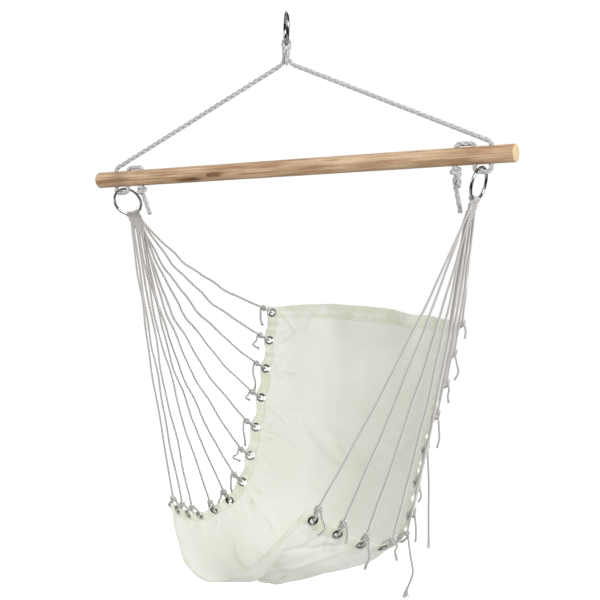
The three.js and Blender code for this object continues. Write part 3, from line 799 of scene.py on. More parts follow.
rope = {
    "bend": 0.0085, "lay": 0.046, "step": 0.0016, "rise": 0.0072, "archPlay": 0.0012,
    "pivotDrop": 0.038, "cut": 0.0191, "cutRun": 0.003, "turnPitch": 0.0050,
    "hitchUp": [(-8.4, 5.6, -40.0), (-5.6, 5.2, -32), (-4.6, 5.4, -18)],
    "hitchBight": [(4.4, 8.4, -14), (2.4, 9.6, -26), (0.4, 8.0, -35.5), (0, 0, -40.6),
                   (0.4, -8.0, -35.5), (2.4, -9.6, -26), (4.4, -8.4, -14)],
    "hitchDown": [(-3.8, -5.2, -12), (-1.6, -3.4, -22), (2.0, -0.8, -29), (7.0, -3.0, -36.2)],
    "hitchWrap": 0.0066, "hitchRadius": 0.0042,
    "tails": {"left": [(-4, 2, -14), (-12, 3, -34), (-20, 4, -54)],
              "right": [(-2, 2, -14), (-1, 10, -44), (1, 22, -78)]},
    "stub": [(5, -3, -6), (7, -4, -12), (9, -5, -22), (8, -6, -32)],
    "stubStep": 0.0014, "stubThick": 0.95, "stubLay": 0.034,
    # the stopper knot: one and a half turns round itself, opening from its first share
    "knotHeight": 0.020, "knotTurn": 0.0072, "knotTurns": 1.6, "knotSteps": 14, "knotStep": 0.002,
    "knotStart": 200, "knotFirst": 0.35, "knotOpens": 2.2, "knotTop": 0.0075, "knotFall": 0.0135,
    "knotRises": (0.022, 0.012), "knotWave": 0.0016, "knotGap": 0.0003,
    "overlap": 0.004, "turnSteps": 6,
}
ringTurn = math.radians(chair["ringTurn"])
ringAcross = np.array([math.cos(ringTurn), math.sin(ringTurn), 0])
ringAlong = np.array([-math.sin(ringTurn), math.cos(ringTurn), 0])
hangRingCentre = np.array([0, 0, -(chair["ringRadius"] - chair["ringWire"])])
hangRingBottom = hangRingCentre - np.array([0, 0, chair["ringRadius"]])
legPivot = hangRingBottom - np.array([0, 0, rope["pivotDrop"]])
ropeRadius = chair["ropeDiameter"] / 2


def hitchPoint(place):
    across, along, up = (v / 1000 for v in place)
    return hangRingBottom + ringAcross * across + ringAlong * along + np.array([0, 0, up])


def hitchTurn(side, fromLeft):
    wrap = rope["hitchWrap"]
    place = side * math.asin(rope["turnPitch"] / chair["ringRadius"])
    points = []
    for k in range(rope["turnSteps"] + 1):
        share = k / rope["turnSteps"] if fromLeft else 1 - k / rope["turnSteps"]
        angle = math.pi * (1 - share)
        reach = chair["ringRadius"] - wrap * math.sin(angle)
        points.append(hangRingCentre + ringAcross * wrap * math.cos(angle)
                      + ringAlong * reach * math.sin(place)
                      - np.array([0, 0, reach * math.cos(place)]))
    return points


def legCorner(side):
    return np.array([sides[side] * chair["outerHole"], 0,
                     chair["barRadius"] + rope["rise"] - chair["barDrop"]])


def legPoint(side, reach):
    return legPivot + unit(legCorner(side) - legPivot) * reach


def addHitch():
    reaches = (rope["cut"] + rope["overlap"], rope["cut"] - rope["cutRun"])
    path = flowing(
        [legPoint("left", reach) for reach in reaches]
        + [hitchPoint(p) for p in rope["hitchUp"]] + hitchTurn(1, True)
        + [hitchPoint(p) for p in rope["hitchBight"]] + hitchTurn(-1, False)
        + [hitchPoint(p) for p in rope["hitchDown"]]
        + [legPoint("right", reach) for reach in reaches[::-1]],
        rope["step"])
    strands = plaitedStrands(path, rope["hitchRadius"], rope["lay"])
    piece = addTube("topHitch", strands, 8, ropeCotton)
    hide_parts("top_hitch")
    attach(piece, "hitch")


def stopperKnot(side):
    # turns round itself under the inner hole, then the free end
    under = chair["barDrop"] + chair["barRadius"] + rope["knotHeight"] / 2 + rope["knotGap"]
    middle = np.array([sides[side] * chair["innerHole"], 0, -under])
    out = np.array([sides[side], 0, 0])
    back = np.array([0, 1, 0])
    up = np.array([0, 0, 1])
    points = [middle + up * rise for rise in rope["knotRises"]]
    for k in range(rope["knotSteps"] + 1):
        share = k / rope["knotSteps"]
        angle = math.radians(rope["knotStart"]) + 2 * math.pi * rope["knotTurns"] * share
        reach = rope["knotTurn"] * min(1, rope["knotFirst"] + rope["knotOpens"] * share)
        height = rope["knotTop"] - rope["knotFall"] * share + rope["knotWave"] * math.sin(angle)
        points.append(middle + out * reach * math.cos(angle) + back * reach * math.sin(angle)
                      + up * height)
    for place in rope["tails"][side]:
        a, b, c = (v / 1000 for v in place)
        points.append(middle + out * a + back * b + up * c)
    return points


def addLeg(side, ends):
    def place(x, z):
        return np.array([sides[side] * x, 0, z - chair["barDrop"]])
    above = chair["barRadius"] + rope["archPlay"] + ropeRadius
    below = chair["barDrop"] - bightDrop
    run = rounded(
        [legPoint(side, rope["cut"]), legCorner(side), place(chair["outerHole"], below),
         place(chair["middleHole"], below), place(chair["middleHole"], above),
         place(chair["innerHole"], above), place(chair["innerHole"], -chair["barRadius"])],
        rope["bend"])
    knot = flowing(stopperKnot(side), rope["knotStep"])
    path = evenly(np.vstack([run[:-1], knot]), rope["step"])
    strands = plaitedStrands(path, ropeRadius, rope["lay"])
    piece = addTube(shownName("ropeLeg", side), strands, 8, ropeCotton)
    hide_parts("suspension_rope_" + side, "stopper_knot_" + side)
    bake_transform(piece)


def addStub():
    # the rope's second end beside the right-hand knot, too short for a cord of its own
    middle = np.array([chair["innerHole"], 0, -(chair["barDrop"] + chair["barRadius"]
                                                 + rope["knotHeight"] / 2)])
    corners = [middle + np.array(p) / 1000 for p in rope["stub"]]
    path = flowing(corners, rope["stubStep"])
    strands = plaitedStrands(path, ropeRadius * rope["stubThick"], rope["stubLay"])
    piece = addTube("ropeStubRight", strands, 7, ropeCotton)
    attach(piece, "bar")
    return piece


addHitch()
addLeg("left", [])
addLeg("right", [addStub()])
print("suspension rope plaited")


# Lines: out of the clew, down to the knot, once through the grommet, a hitch and a free end

lineLook = {
    "lay": 0.0205, "step": 0.0016, "firstRun": 0.002, "layer": 0.0026, "into": 0.0015,
    "knotReach": 0.023, "knotLean": 0.35, "wrap": 0.0044, "wrapPitch": 0.0044, "wrapTurns": 2.2,
    "ledgeOut": (14.6, 12.0, 9.4, 6.8, 4.2, 1.4), "ledgeDown": (14, 24, 34, 44, 54, 62),
    "loop": [(18, 4.6), (13, 5.9), (6.4, 6.1), (2.8, 5.0), (1.9, 0), (2.8, -5.0), (6.4, -6.1),
             (13, -5.9), (18, -5.0)],
    "sags": {"left": (26, 28, 31, 34, 36, 36, 34, 28, 20, 15, 14, 14),
             "right": (4, 5, 6, 7, 8, 8, 8, 8, 8, 8, 9, 12)},
    "sagShare": 0.86, "shownRadius": 0.0027,
    "waves": {"left": 1.9, "right": 0.7},
    "tails": {"left": (40, 30, 65, 18, 55, 25, 45, 35, 20, 30, 25, 16),
              "right": (30, 55, 40, 67, 190, 45, 60, 105, 28, 52, 35, 48)},
    "tailSway": 6, "tailStandOff": 8, "flare": 0.7, "knotStandOff": 0.0012,
    "wrapSteps": 27, "wrapSink": 0.75,
    # each point of a free end: shares of its hang, its stand-off and its swing
    "tailShape": ((0.35, 1.2, 0), (0.68, 1, 1), (1, 0.8, -0.4)),
    # the slow waves of cord that has been coiled: rate, shift and size
    "swayWaves": ((19, 1.7, 1), (37, 2.9, 0.6)), "swingWaves": ((15, 3.1, 1), (31, 1, 0.5)),
    # frayed ends: how long, how wide and how many threads
    "tassels": {("right", 7): (0.019, 0.0085, 34), ("right", 4): (0.012, 0.0045, 20),
                ("right", 9): (0.010, 0.0045, 18), ("right", 8): (0.011, 0.0050, 18),
                ("left", 2): (0.007, 0.0030, 12)},
    "swayShares": (0.6, -0.4, 0.2, -0.8, 0.5, -0.2, 0.9, -0.6, 0.3, -0.9, 0.7, -0.3),
}


def lineStartLocal(station):
    half = stationCount // 2
    ledge = station if station < half else stationCount - 1 - station
    out = lineLook["ledgeOut"][ledge] * (1 if station < half else -1) / 1000
    down = chair["ringRadius"] + lineLook["ledgeDown"][ledge] / 1000 + chair["ringGap"]
    return out, down, -lineLook["layer"] if station % 2 else lineLook["layer"]


def slowWave(waves, share, seed):
    return sum(size * math.sin(rate * share + seed * shift) for rate, shift, size in waves)


def saggingRun(start, end, sag, wave, seed):
    # bowed by its own weight, and wavy
    chord = unit(end - start)
    down = np.array([0, 0, -1.0])
    down = unit(down - chord * (down @ chord))
    side = np.cross(chord, down)
    points = []
    for k in range(20):
        share = k / 20
        fade = math.sin(math.pi * share)
        sway = wave * fade * slowWave(lineLook["swayWaves"], share, seed)
        swing = wave * fade * slowWave(lineLook["swingWaves"], share, seed)
        drop = 4 * sag * share * (1 - share) + sway / 1000
        points.append(start + (end - start) * share + down * drop + side * swing / 1000)
    return points


def linePath(side, station):
    fan, pad = fans[side], pads[side][station]
    start = fanPoint(fan, *lineStartLocal(station))
    run = start + fan["down"] * lineLook["firstRun"]
    lean = lineLook["knotLean"] * np.sign((run - pad["centre"]) @ pad["edge"])
    out = unit(pad["edge"] * lean - pad["inward"])
    knot = pad["centre"] + out * lineLook["knotReach"]
    seed = station + (0 if side == "left" else 20)
    sag = lineLook["sagShare"] * lineLook["sags"][side][station] / 1000
    free = saggingRun(run, knot, sag, lineLook["waves"][side], seed)
    way = unit(free[-3] - knot)
    points = [start - fan["down"] * lineLook["into"], start] + free
    points += [knot + pad["face"] * lineLook["knotStandOff"]]
    points += [pad["centre"] + out * a / 1000 + pad["face"] * b / 1000 for a, b in lineLook["loop"]]
    first = unit(np.cross(way, pad["face"]))
    second = np.cross(way, first)
    for k in range(lineLook["wrapSteps"] + 1):
        share = k / lineLook["wrapSteps"]
        angle = math.radians(90) + 2 * math.pi * lineLook["wrapTurns"] * share
        lift = lineLook["wrapPitch"] * (lineLook["wrapTurns"] * share - lineLook["wrapSink"])
        points.append(knot + way * lift + (first * math.cos(angle) + second * math.sin(angle))
                      * lineLook["wrap"])
    tail = lineLook["tails"][side][station] / 1000
    sway = lineLook["tailSway"] * lineLook["swayShares"][station] / 1000
    aside = unit(np.array([out[0], out[1], 0])) * lineLook["tailStandOff"] / 1000
    hang = np.array([0, sway, -tail])
    swing = aside * (0.5 + lineLook["swayShares"][-1 - station])
    points += [knot + hang * a + aside * b + swing * c for a, b, c in lineLook["tailShape"]]
    return flowing(points, lineLook["step"]), points[-1] - points[-2]


# Threads of a frayed end, which start inside it and fan out
tasselLook = {"inside": 0.004, "firstSpread": 0.0012, "endSpread": 0.0019, "halfWay": (0.45, 0.55),
              "turn": 2.39996, "thread": 0.00048, "step": 0.0018, "droop": 0.4}


def addTassel(name, end, way, size):
    length, spread, count = size
    halfDown, halfOut = tasselLook["halfWay"]
    down = unit(way + np.array([0, 0, -tasselLook["droop"]]) * np.linalg.norm(way))
    first = unit(np.cross(down, [0, 1, 0.2]))
    second = np.cross(down, first)
    threads = []
    for k in range(count):
        turn = tasselLook["turn"] * k
        reach = math.sqrt((k + 0.5) / count)
        aside = first * math.cos(turn) + second * math.sin(turn)
        run = length * (0.75 + 0.25 * math.sin(5.1 * k))
        points = [end - down * tasselLook["inside"] + aside * tasselLook["firstSpread"] * reach,
                  end + aside * tasselLook["endSpread"] * reach,
                  end + down * run * halfDown + aside * spread * halfOut * reach,
                  end + down * run + aside * spread * reach * (0.8 + 0.3 * math.sin(3.7 * k))]
        threads.append(roundStrand(flowing(points, tasselLook["step"]), tasselLook["thread"]))
    piece = addTube(name, threads, 4, lineCotton)
    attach(piece, "seat")
    return piece


def addLine(side, station):
    path, endWay = linePath(side, station)
    strands = twistedStrands(path, lineLook["shownRadius"], lineLook["lay"], start=station,
                             flare=lineLook["flare"])
    name = shownName("line", side, station)
    piece = addTube(name, strands, 5, lineCotton)
    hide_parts(pieceName("line", side, station))
    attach(piece, "seat")
    tassel = lineLook["tassels"].get((side, station))
    onIt = [addTassel("fray" + name[4:], path[-1], endWay, tassel)] if tassel else []


for side in sides:
    for station in range(stationCount):
        addLine(side, station)
print("lines laid")


# Clews: six doubled cords over each side ring, their twelve legs woven level by level

clewLook = {
    "radius": 0.00195, "weftRadius": 0.0015, "ringPitch": 0.0050, "weave": 0.0030,
    "levelPitch": 0.0058, "apart": 0.0012, "step": 0.0013, "blendRun": 0.005,
    "ringPlay": 0.0002, "lay": 0.0130, "wefts": 9, "weftPast": 0.0012, "weftBow": 0.0014,
    # the legs start this far below the ring, part over the first run and turn over the second
    "belowRing": 0.0035, "legStep": 0.0014, "apartRun": 0.004, "turnRun": 0.016,
}
firstLevel = chair["ringRadius"] + lineLook["ledgeDown"][0] / 1000


def clewLeg(fan, station, ringOut):
    # from below the ring to the ledge where the leg leaves as a line
    start = lineStartLocal(station)
    sign = -1 if station % 2 else 1
    top = chair["ringRadius"] + chair["ringWire"] + clewLook["belowRing"]
    points = []
    for down in np.linspace(top, start[1], max(4, round((start[1] - top) / clewLook["legStep"]))):
        level = (down - firstLevel) / clewLook["levelPitch"]
        ending = smoothShare(1 - (start[1] - down) / clewLook["blendRun"])
        depth = sign * clewLook["weave"] * math.cos(math.pi * level)
        depth += (start[2] - depth) * ending
        turned = smoothShare((down - top) / clewLook["turnRun"])
        parted = smoothShare((down - top) / clewLook["apartRun"])
        out = ringOut + (start[0] - ringOut) * turned
        out += sign * clewLook["apart"] * parted * (1 - turned)
        points.append(fanPoint(fan, out, down, depth))
    return points


def clewCord(fan, ringOut, front, rear):
    wrap = chair["ringWire"] + clewLook["radius"] + clewLook["ringPlay"]
    angle = math.asin(ringOut / chair["ringRadius"])
    over = []
    for turn in range(-10, 200, 20):
        lift, swing = math.sin(math.radians(turn)), math.cos(math.radians(turn))
        reach = chair["ringRadius"] - wrap * lift
        over.append(fanPoint(fan, reach * math.sin(angle), reach * math.cos(angle), wrap * swing))
    return flowing(clewLeg(fan, front, ringOut)[::-1] + over + clewLeg(fan, rear, ringOut),
                   clewLook["step"])


def clewWeft(fan, level):
    down = firstLevel + (level - 0.5) * clewLook["levelPitch"]
    below = (down - chair["ringRadius"]) * 1000
    ledge = np.interp(below, lineLook["ledgeDown"], lineLook["ledgeOut"]) / 1000
    reach, bow = ledge + clewLook["weftPast"], clewLook["weftBow"]
    return flowing([fanPoint(fan, reach * s, down + bow * s * s, 0) for s in (-1, -0.5, 0, 0.5, 1)],
                   clewLook["step"])


def addClew(side):
    fan = fans[side]
    strands = []
    for k in range(stationCount // 2):
        ringOut = (2.5 - k) * clewLook["ringPitch"]
        strands += twistedStrands(clewCord(fan, ringOut, 2 * k, 2 * k + 1), clewLook["radius"],
                                  clewLook["lay"], start=k)
    for level in range(clewLook["wefts"]):
        strands += twistedStrands(clewWeft(fan, level), clewLook["weftRadius"], clewLook["lay"])
    piece = addTube(shownName("clew", side), strands, 6, lineCotton)
    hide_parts("clew_" + side)
    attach(piece, "seat")


for side in sides:
    addClew(side)
print("clews woven")


# Rings: round wire, bent and welded

ringLook = {
    "stepsRound": 144, "wireSides": 24, "weldWidth": 0.05, "weldRise": 0.10,
    "topWire": 0.0034, "sideWire": 0.0028, "topTurn": 6, "topWeld": 40, "sideWeld": 160,
}


def addRing(name, node, centre, first, second, wire, weldAt, body):
    axis = np.cross(first, second)
    points, mapped = [], []
    steps, around = ringLook["stepsRound"], ringLook["wireSides"]
    for i in range(steps):
        angle = 2 * math.pi * i / steps
        away = abs((angle - math.radians(weldAt) + math.pi) % (2 * math.pi) - math.pi)
        swell = 1 + ringLook["weldRise"] * math.exp(-(away / ringLook["weldWidth"]) ** 2)
        outward = first * math.cos(angle) + second * math.sin(angle)
        for k in range(around):
            turn = 2 * math.pi * k / around
            points.append(centre + outward * (chair["ringRadius"] + wire * swell * math.cos(turn))
                          + axis * wire * swell * math.sin(turn))
            mapped.append((angle * chair["ringRadius"], k / around))
    faces = sweptFaces(steps, around, closed=True, flipped=True)
    piece = addMesh(name, points, faces, ringChrome, mapped)
    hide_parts(node)
    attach(piece, body)


topTurn = Matrix.Rotation(math.radians(ringLook["topTurn"]), 3, "Z")
addRing("hangingRing", "hanging_ring", hangRingCentre, np.array(topTurn @ Vector(ringAlong)),
        np.array([0, 0, 1.0]), ringLook["topWire"], ringLook["topWeld"], "hanging_ring")
for side, fan in fans.items():
    addRing(shownName("sideRing", side), "side_ring_" + side, fan["centre"], fan["across"],
            fan["down"], ringLook["sideWire"], ringLook["sideWeld"], "seat")
print("rings bent")


# Grommets: an eyelet rolled over a washer, lathed round its own axis

grommetLook = {
    "outline": [(5.5, 0), (5.5, 1.9), (5.9, 2.6), (6.9, 2.9), (8.0, 2.5), (8.7, 2.25), (9.6, 2.3),
                (10.0, 1.9), (9.9, 1.3), (6.2, 1.25)],
    "steps": 48,
}


def addGrommet(side, station):
    pad = pads[side][station]
    half = [(r / 1000, h / 1000) for r, h in grommetLook["outline"]]
    profile = half + [(r, -h) for r, h in half[:0:-1]]
    steps, count = grommetLook["steps"], len(profile)
    points = []
    for i in range(steps):
        angle = 2 * math.pi * i / steps
        outward = pad["edge"] * math.cos(angle) + pad["inward"] * math.sin(angle)
        points += [pad["centre"] + outward * r + pad["face"] * h for r, h in profile]
    faces = sweptFaces(steps, count, closed=True, flipped=side == "right")
    piece = addMesh(shownName("grommet", side, station), points, faces, grommetNickel)
    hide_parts(pieceName("grommet", side, station))
    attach(piece, "seat")


for side in sides:
    for station in range(stationCount):
        addGrommet(side, station)
print("grommets pressed")


# Spreader bar: turned, with rounded ends and three drilled holes at each end

barLook = {
    "around": 96, "along": 160, "rounding": 0.004, "cornerSteps": 9, "plainEnds": 0.012,
    "uneven": 0.006, "sharpFrom": 40, "holeRadius": 0.0062, "flare": 0.0009, "holeSides": 32,
    "drillPast": 0.004, "lip": 0.0012,
}


def latheAlongX(profile, around, centre):
    points = []
    for x, radius in profile:
        for k in range(around):
            turn = 2 * math.pi * k / around
            points.append(centre + np.array([x, radius * math.cos(turn), radius * math.sin(turn)]))
    faces = sweptFaces(len(profile), around)
    faces.append(tuple(range(around)))
    faces.append(tuple(reversed(range((len(profile) - 1) * around, len(profile) * around))))
    return points, faces


def addBar():
    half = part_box("spreader_bar")[1][0]
    radius, rounding = chair["barRadius"], barLook["rounding"]
    corner = [(half - rounding + rounding * math.sin(t), radius - rounding + rounding * math.cos(t))
              for t in np.linspace(0, math.pi / 2, barLook["cornerSteps"])]
    plain = half - barLook["plainEnds"]
    middle = [(x, radius * (1 + barLook["uneven"] * math.sin(9 * x) * math.sin(31 * x)))
              for x in np.linspace(-plain, plain, barLook["along"])]
    profile = [(-x, r) for x, r in corner[::-1]] + middle + corner
    points, faces = latheAlongX(profile, barLook["around"], np.array([0, 0, -chair["barDrop"]]))
    bar = addMesh("spreaderBar", points, faces, barWood)
    holes = [drillHole(sign * chair[hole], bar)
             for hole in ("outerHole", "middleHole", "innerHole") for sign in (-1, 1)]
    applied(bar)
    for hole in holes:
        bpy.data.objects.remove(hole)
    bar.data.polygons.foreach_set("use_smooth", [True] * len(bar.data.polygons))
    bar.data.set_sharp_from_angle(angle=math.radians(barLook["sharpFrom"]))
    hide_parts("spreader_bar")
    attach(bar, "bar")


def drillHole(x, bar):
    # wider at both mouths, where the drill and the rope have broken the edge
    radius, mouth = barLook["holeRadius"], barLook["holeRadius"] + 3 * barLook["flare"]
    reach, lip = chair["barRadius"] + barLook["drillPast"], chair["barRadius"] - barLook["lip"]
    profile = [(-reach, mouth), (-lip, radius), (lip, radius), (reach, mouth)]
    points, faces = latheAlongX(profile, barLook["holeSides"], np.zeros(3))
    points = [np.array([p[1] + x, p[2], p[0] - chair["barDrop"]]) for p in points]
    hole = addMesh("drill", points, faces, barWood)
    hole.hide_render = True
    cut = bar.modifiers.new("hole", "BOOLEAN")
    cut.operation, cut.solver, cut.object = "DIFFERENCE", "EXACT", hole
    return hole


addBar()
print("bar turned and drilled")


# Seat cloth: pinned at its grommets, with folds, creases and puckers, and left to settle

clothSim = {
    "across": 92, "along": 118, "thickness": 0.0016, "frames": 30, "quality": 8, "gravity": 0.25,
    "bending": 6.0, "tension": 40.0, "shear": 20.0, "mass": 0.10, "mostMove": 0.009,
    "damping": 3.0, "padReach": 0.0135, "holeReach": 0.0074,
}
drape = {
    "folds": (0.30, -0.45, 0.50, -0.30, 0.20, 0.55, -0.80, 0.65, -0.35), "foldDepth": 0.008,
    "topCrown": 0.030, "crownLean": 0.5,
    "narrowHem": 0.015,          # the front hem is this much narrower than the others
    "scallop": 0.0065, "scallopRun": 0.070,
    "scallopShares": (0.8, 1.1, 0.9, 1.2, 0.8, 1.0, 0.7, 0.5, 0.8, 1.0, 0.9),
    "pucker": 0.0028, "puckerRun": 0.040,
    "gather": 0.0016, "gatherRun": 0.028, "gatherPitches": (0.031, 0.0223), "gatherShade": 0.75,
    "crownRun": 1.2, "foldFade": 0.75, "creaseBend": 0.006,
    # creases narrower than this get painted shade, stronger the deeper they are sunk, measured
    # against this depth
    "shadedCreaseWidth": 0.012, "shadedCreaseDepth": 0.005,
    # three pulls in from each grommet: reach, drop, lean, width and share of the depth
    "pulls": ((1, 0.040, 1, 0.0042, -1), (0.8, -0.034, 1, 0.0038, -0.8),
              (1.3, 0, 0.3, 0.0050, 0.8)),
    "pullInset": 0.040, "pullLean": 0.03, "pullRun": (0.09, 0.035), "pullDepth": (0.0022, 0.0008),
    # from and to as shares across and down the cloth, width and depth in metres
    "creases": [(0.05, 0.13, 0.17, 0.05, 0.005, -0.0030), (0.15, 0.07, 0.27, 0.01, 0.006, -0.0026),
                (0.07, 0.09, 0.20, 0.03, 0.007, 0.0028),
                (0.05, 0.20, 0.17, 0.17, 0.005, -0.0022), (0.06, 0.36, 0.21, 0.41, 0.006, 0.0024),
                (0.05, 0.55, 0.30, 0.64, 0.006, -0.0026), (0.05, 0.64, 0.30, 0.78, 0.007, 0.0030),
                (0.04, 0.70, 0.90, 0.99, 0.010, -0.0052), (0.10, 0.65, 0.84, 0.90, 0.015, 0.0042),
                (0.04, 0.78, 0.40, 0.94, 0.018, 0.0030),
                (0.34, 0.74, 0.74, 0.88, 0.007, -0.0034), (0.24, 0.68, 0.62, 0.76, 0.008, -0.0026),
                (0.95, 0.56, 0.70, 0.70, 0.007, 0.0026), (0.96, 0.70, 0.72, 0.78, 0.006, -0.0026),
                (0.97, 0.80, 0.70, 0.92, 0.007, 0.0034), (0.96, 0.84, 0.78, 0.97, 0.006, -0.0026),
                (0.50, 0.60, 0.88, 0.63, 0.007, -0.0020), (0.30, 0.64, 0.58, 0.60, 0.006, -0.0018),
                (0.45, 0.06, 0.47, 0.50, 0.018, 0.0034), (0.66, 0.05, 0.62, 0.58, 0.020, -0.0030),
                (0.30, 0.08, 0.33, 0.52, 0.016, -0.0022), (0.80, 0.10, 0.78, 0.46, 0.015, 0.0034)],
    # where painted shade lies in the seat's hollow: middle across and down, and reach
    "hollow": (0.62, 0.85, 0.20, 0.09), "hollowShare": 0.5,
}


def alongSpline(values, place):
    # a smooth value between stations, for places from 0 to 11 and a little past them
    count = len(values)
    if place <= 0:
        return values[0] + (values[1] - values[0]) * place
    if place >= count - 1:
        return values[-1] + (values[-1] - values[-2]) * (place - count + 1)
    i = int(place)
    t = place - i
    a, b = values[max(i - 1, 0)], values[i]
    c, d = values[i + 1], values[min(i + 2, count - 1)]
    return 0.5 * (2 * b + (c - a) * t + (2 * a - 5 * b + 4 * c - d) * t**2
                  + (3 * b - 3 * c + d - a) * t**3)


def evenShares(chord, sag, count=121):
    # shares of the chord at equal lengths along the hanging curve
    x = np.linspace(0, 1, count)
    drop = 4 * sag * x * (1 - x)
    run = np.concatenate([[0], np.cumsum(np.hypot(np.diff(x) * chord, np.diff(drop)))])
    return run / run[-1], x


def clothShape():
    lefts = np.array([row["left"] for row in rows])
    rights = np.array([row["right"] for row in rows])
    downs = np.array([row["down"] for row in rows])
    sags = np.array([row["sag"] for row in rows])
    halves = np.array([s * seat["span"] / 2 for s in seat["spans"]])
    steps = (np.linalg.norm(np.diff(lefts, axis=0), axis=1)
             + np.linalg.norm(np.diff(rights, axis=0), axis=1)) / 2
    lengths = np.concatenate([[0], np.cumsum(steps)])
    places = np.linspace(-seat["topMargin"] / steps[0],
                         stationCount - 1 + seat["frontMargin"] / steps[-1], clothSim["along"])
    top, bottom = -seat["topMargin"], lengths[-1] + seat["frontMargin"]
    hung, flat, hems = [], [], []
    for place in places:
        left, right, down = (alongSpline(v, place) for v in (lefts, rights, downs))
        sag, half = alongSpline(sags, place), alongSpline(halves, place)
        run = float(alongSpline(lengths, place))
        forward = unit(alongSpline((lefts + rights) / 2, place + 0.05)
                       - alongSpline((lefts + rights) / 2, place - 0.05))
        crown = drape["topCrown"] * max(0, 1 - max(place, 0) / drape["crownRun"])
        between = min(max(int(place), 0), stationCount - 2)
        dip = math.sin(math.pi * min(max(place - between, 0), 1)) ** 2
        draw = drape["scallop"] * drape["scallopShares"][between] * dip
        chord = float(np.linalg.norm(right - left))
        lengthShares, chordShares = evenShares(chord, sag)
        width = half + seat["edgeMargin"]
        for k in range(clothSim["across"]):
            over = -width + 2 * width * k / (clothSim["across"] - 1)
            fade = max(0, 1 - (width - abs(over)) / drape["scallopRun"])
            drawn = over - math.copysign(draw * fade, over)
            arc = (drawn + half) / (2 * half)
            inside = float(np.interp(arc, lengthShares, chordShares))
            spot = left + (right - left) * inside + down * sag * 4 * inside * (1 - inside)
            past = -arc if arc < 0 else max(0, arc - 1)
            if past > 0:
                way = unit((left - right if arc < 0 else right - left) - down * 4 * sag)
                spot = spot + way * past * 2 * half
            lean = 1 + drape["crownLean"] * (0.5 - inside)
            spot = spot - forward * crown * lean * 4 * inside * (1 - inside)
            hung.append(spot)
            flat.append((over, -run, 0))
            hems.append((width - abs(over), min(run - top, bottom - run + drape["narrowHem"])))
    return np.array(hung), np.array(flat), np.array(hems)


def shortCreases():
    # small pulls running in from each grommet
    pulls = []
    run, runSway = drape["pullRun"]
    depth, depthSway = drape["pullDepth"]
    for station in range(stationCount):
        v = (seat["topMargin"] + seat["rowPitch"] * station) / seat["long"]
        deep = depth + depthSway * math.sin(3.3 * station)
        for hand, u in ((1, drape["pullInset"]), (-1, 1 - drape["pullInset"])):
            lean = drape["pullLean"] * math.sin(2.3 * station + hand)
            far = run + runSway * math.sin(4.1 * station + 2 * hand)
            pulls += [(u, v, u + hand * far * reach, v + drop + lean * tilt, width, deep * share)
                      for reach, drop, tilt, width, share in drape["pulls"]]
    return pulls


def finer(grid):
    # a row between each two of a grid, on a smooth curve through its neighbours
    padded = np.concatenate([2 * grid[:1] - grid[1:2], grid, 2 * grid[-1:] - grid[-2:-1]])
    middle = (9 * (padded[1:-2] + padded[2:-1]) - padded[:-3] - padded[3:]) / 16
    doubled = np.empty((2 * len(grid) - 1,) + grid.shape[1:])
    doubled[::2] = grid
    doubled[1::2] = middle
    return doubled


def finerCloth(values):
    grid = values.reshape(clothSim["along"], clothSim["across"], -1)
    return finer(finer(grid).transpose(1, 0, 2)).transpose(1, 0, 2)


def addRelief(grid):
    # folds, creases and puckers, raised and sunk square to the cloth, and a map of painted shade in
    # their grooves and in the seat's hollow
    down, over = np.gradient(grid, axis=0), np.gradient(grid, axis=1)
    normal = np.cross(over, down)
    normal /= np.linalg.norm(normal, axis=2)[:, :, None]
    u = np.linspace(0, 1, grid.shape[1])[None, :]
    v = np.linspace(0, 1, grid.shape[0])[:, None]
    wide, long = seat["wide"], seat["long"]
    folds = (0,) + drape["folds"] + (0,)
    wave = flowing([(10 * x, y * 10, 0) for x, y in enumerate(folds)], 0.2)
    lift = drape["foldDepth"] * np.interp(u * 100, wave[:, 0], wave[:, 1] / 10)
    lift = lift * (1 - drape["foldFade"] * v)
    worn = np.zeros_like(lift)
    for u0, v0, u1, v1, width, depth in drape["creases"] + shortCreases():
        a, b = np.array([u0 * wide, v0 * long]), np.array([u1 * wide, v1 * long])
        way = (b - a) / np.linalg.norm(b - a)
        x, y = u * wide - a[0], v * long - a[1]
        along = (x * way[0] + y * way[1]) / np.linalg.norm(b - a)
        bend = drape["creaseBend"] * np.sin(2.6 * along + 9 * depth * 1000)
        aside = x * way[1] - y * way[0] + bend
        ends = smoothShare(np.clip(np.minimum(along, 1 - along) * 4, 0, 1))
        lift += depth * ends * np.exp(-(aside / width) ** 2)
        # narrow sunk creases get painted shade along their grooves
        if depth < 0 and width < drape["shadedCreaseWidth"]:
            share = min(0.8, -depth / drape["shadedCreaseDepth"])
            worn += ends * share * np.exp(-(aside / (0.5 * width)) ** 2)
    station = v * (stationCount - 1 + 0.6) - 0.22
    edge = np.minimum(u, 1 - u) * wide
    wave = np.cos(2 * math.pi * station) + 0.4 * np.cos(4 * math.pi * station + 3 * u)
    lift += drape["pucker"] * wave * np.exp(-(edge / drape["puckerRun"]) ** 2)
    slow, quick = (2 * math.pi * v / pitch for pitch in drape["gatherPitches"])
    gather = np.sin(slow + 7 * u) + np.sin(quick + 11 * u + 2)
    near = np.exp(-(edge / drape["gatherRun"]) ** 2)
    lift += drape["gather"] * gather * near
    # painted shade in the sunk gathers near the edges
    worn += drape["gatherShade"] * near * np.clip(-gather, 0, 1)
    middleU, middleV, reachU, reachV = drape["hollow"]
    spread = ((u - middleU) / reachU) ** 2 + ((v - middleV) / reachV) ** 2
    worn += drape["hollowShare"] * np.exp(-spread)
    return grid + normal * lift[:, :, None], np.clip(worn, 0, 1)


def clothFaces(long, wide):
    return [(i * wide + k, (i + 1) * wide + k, (i + 1) * wide + k + 1, i * wide + k + 1)
            for i in range(long - 1) for k in range(wide - 1)]


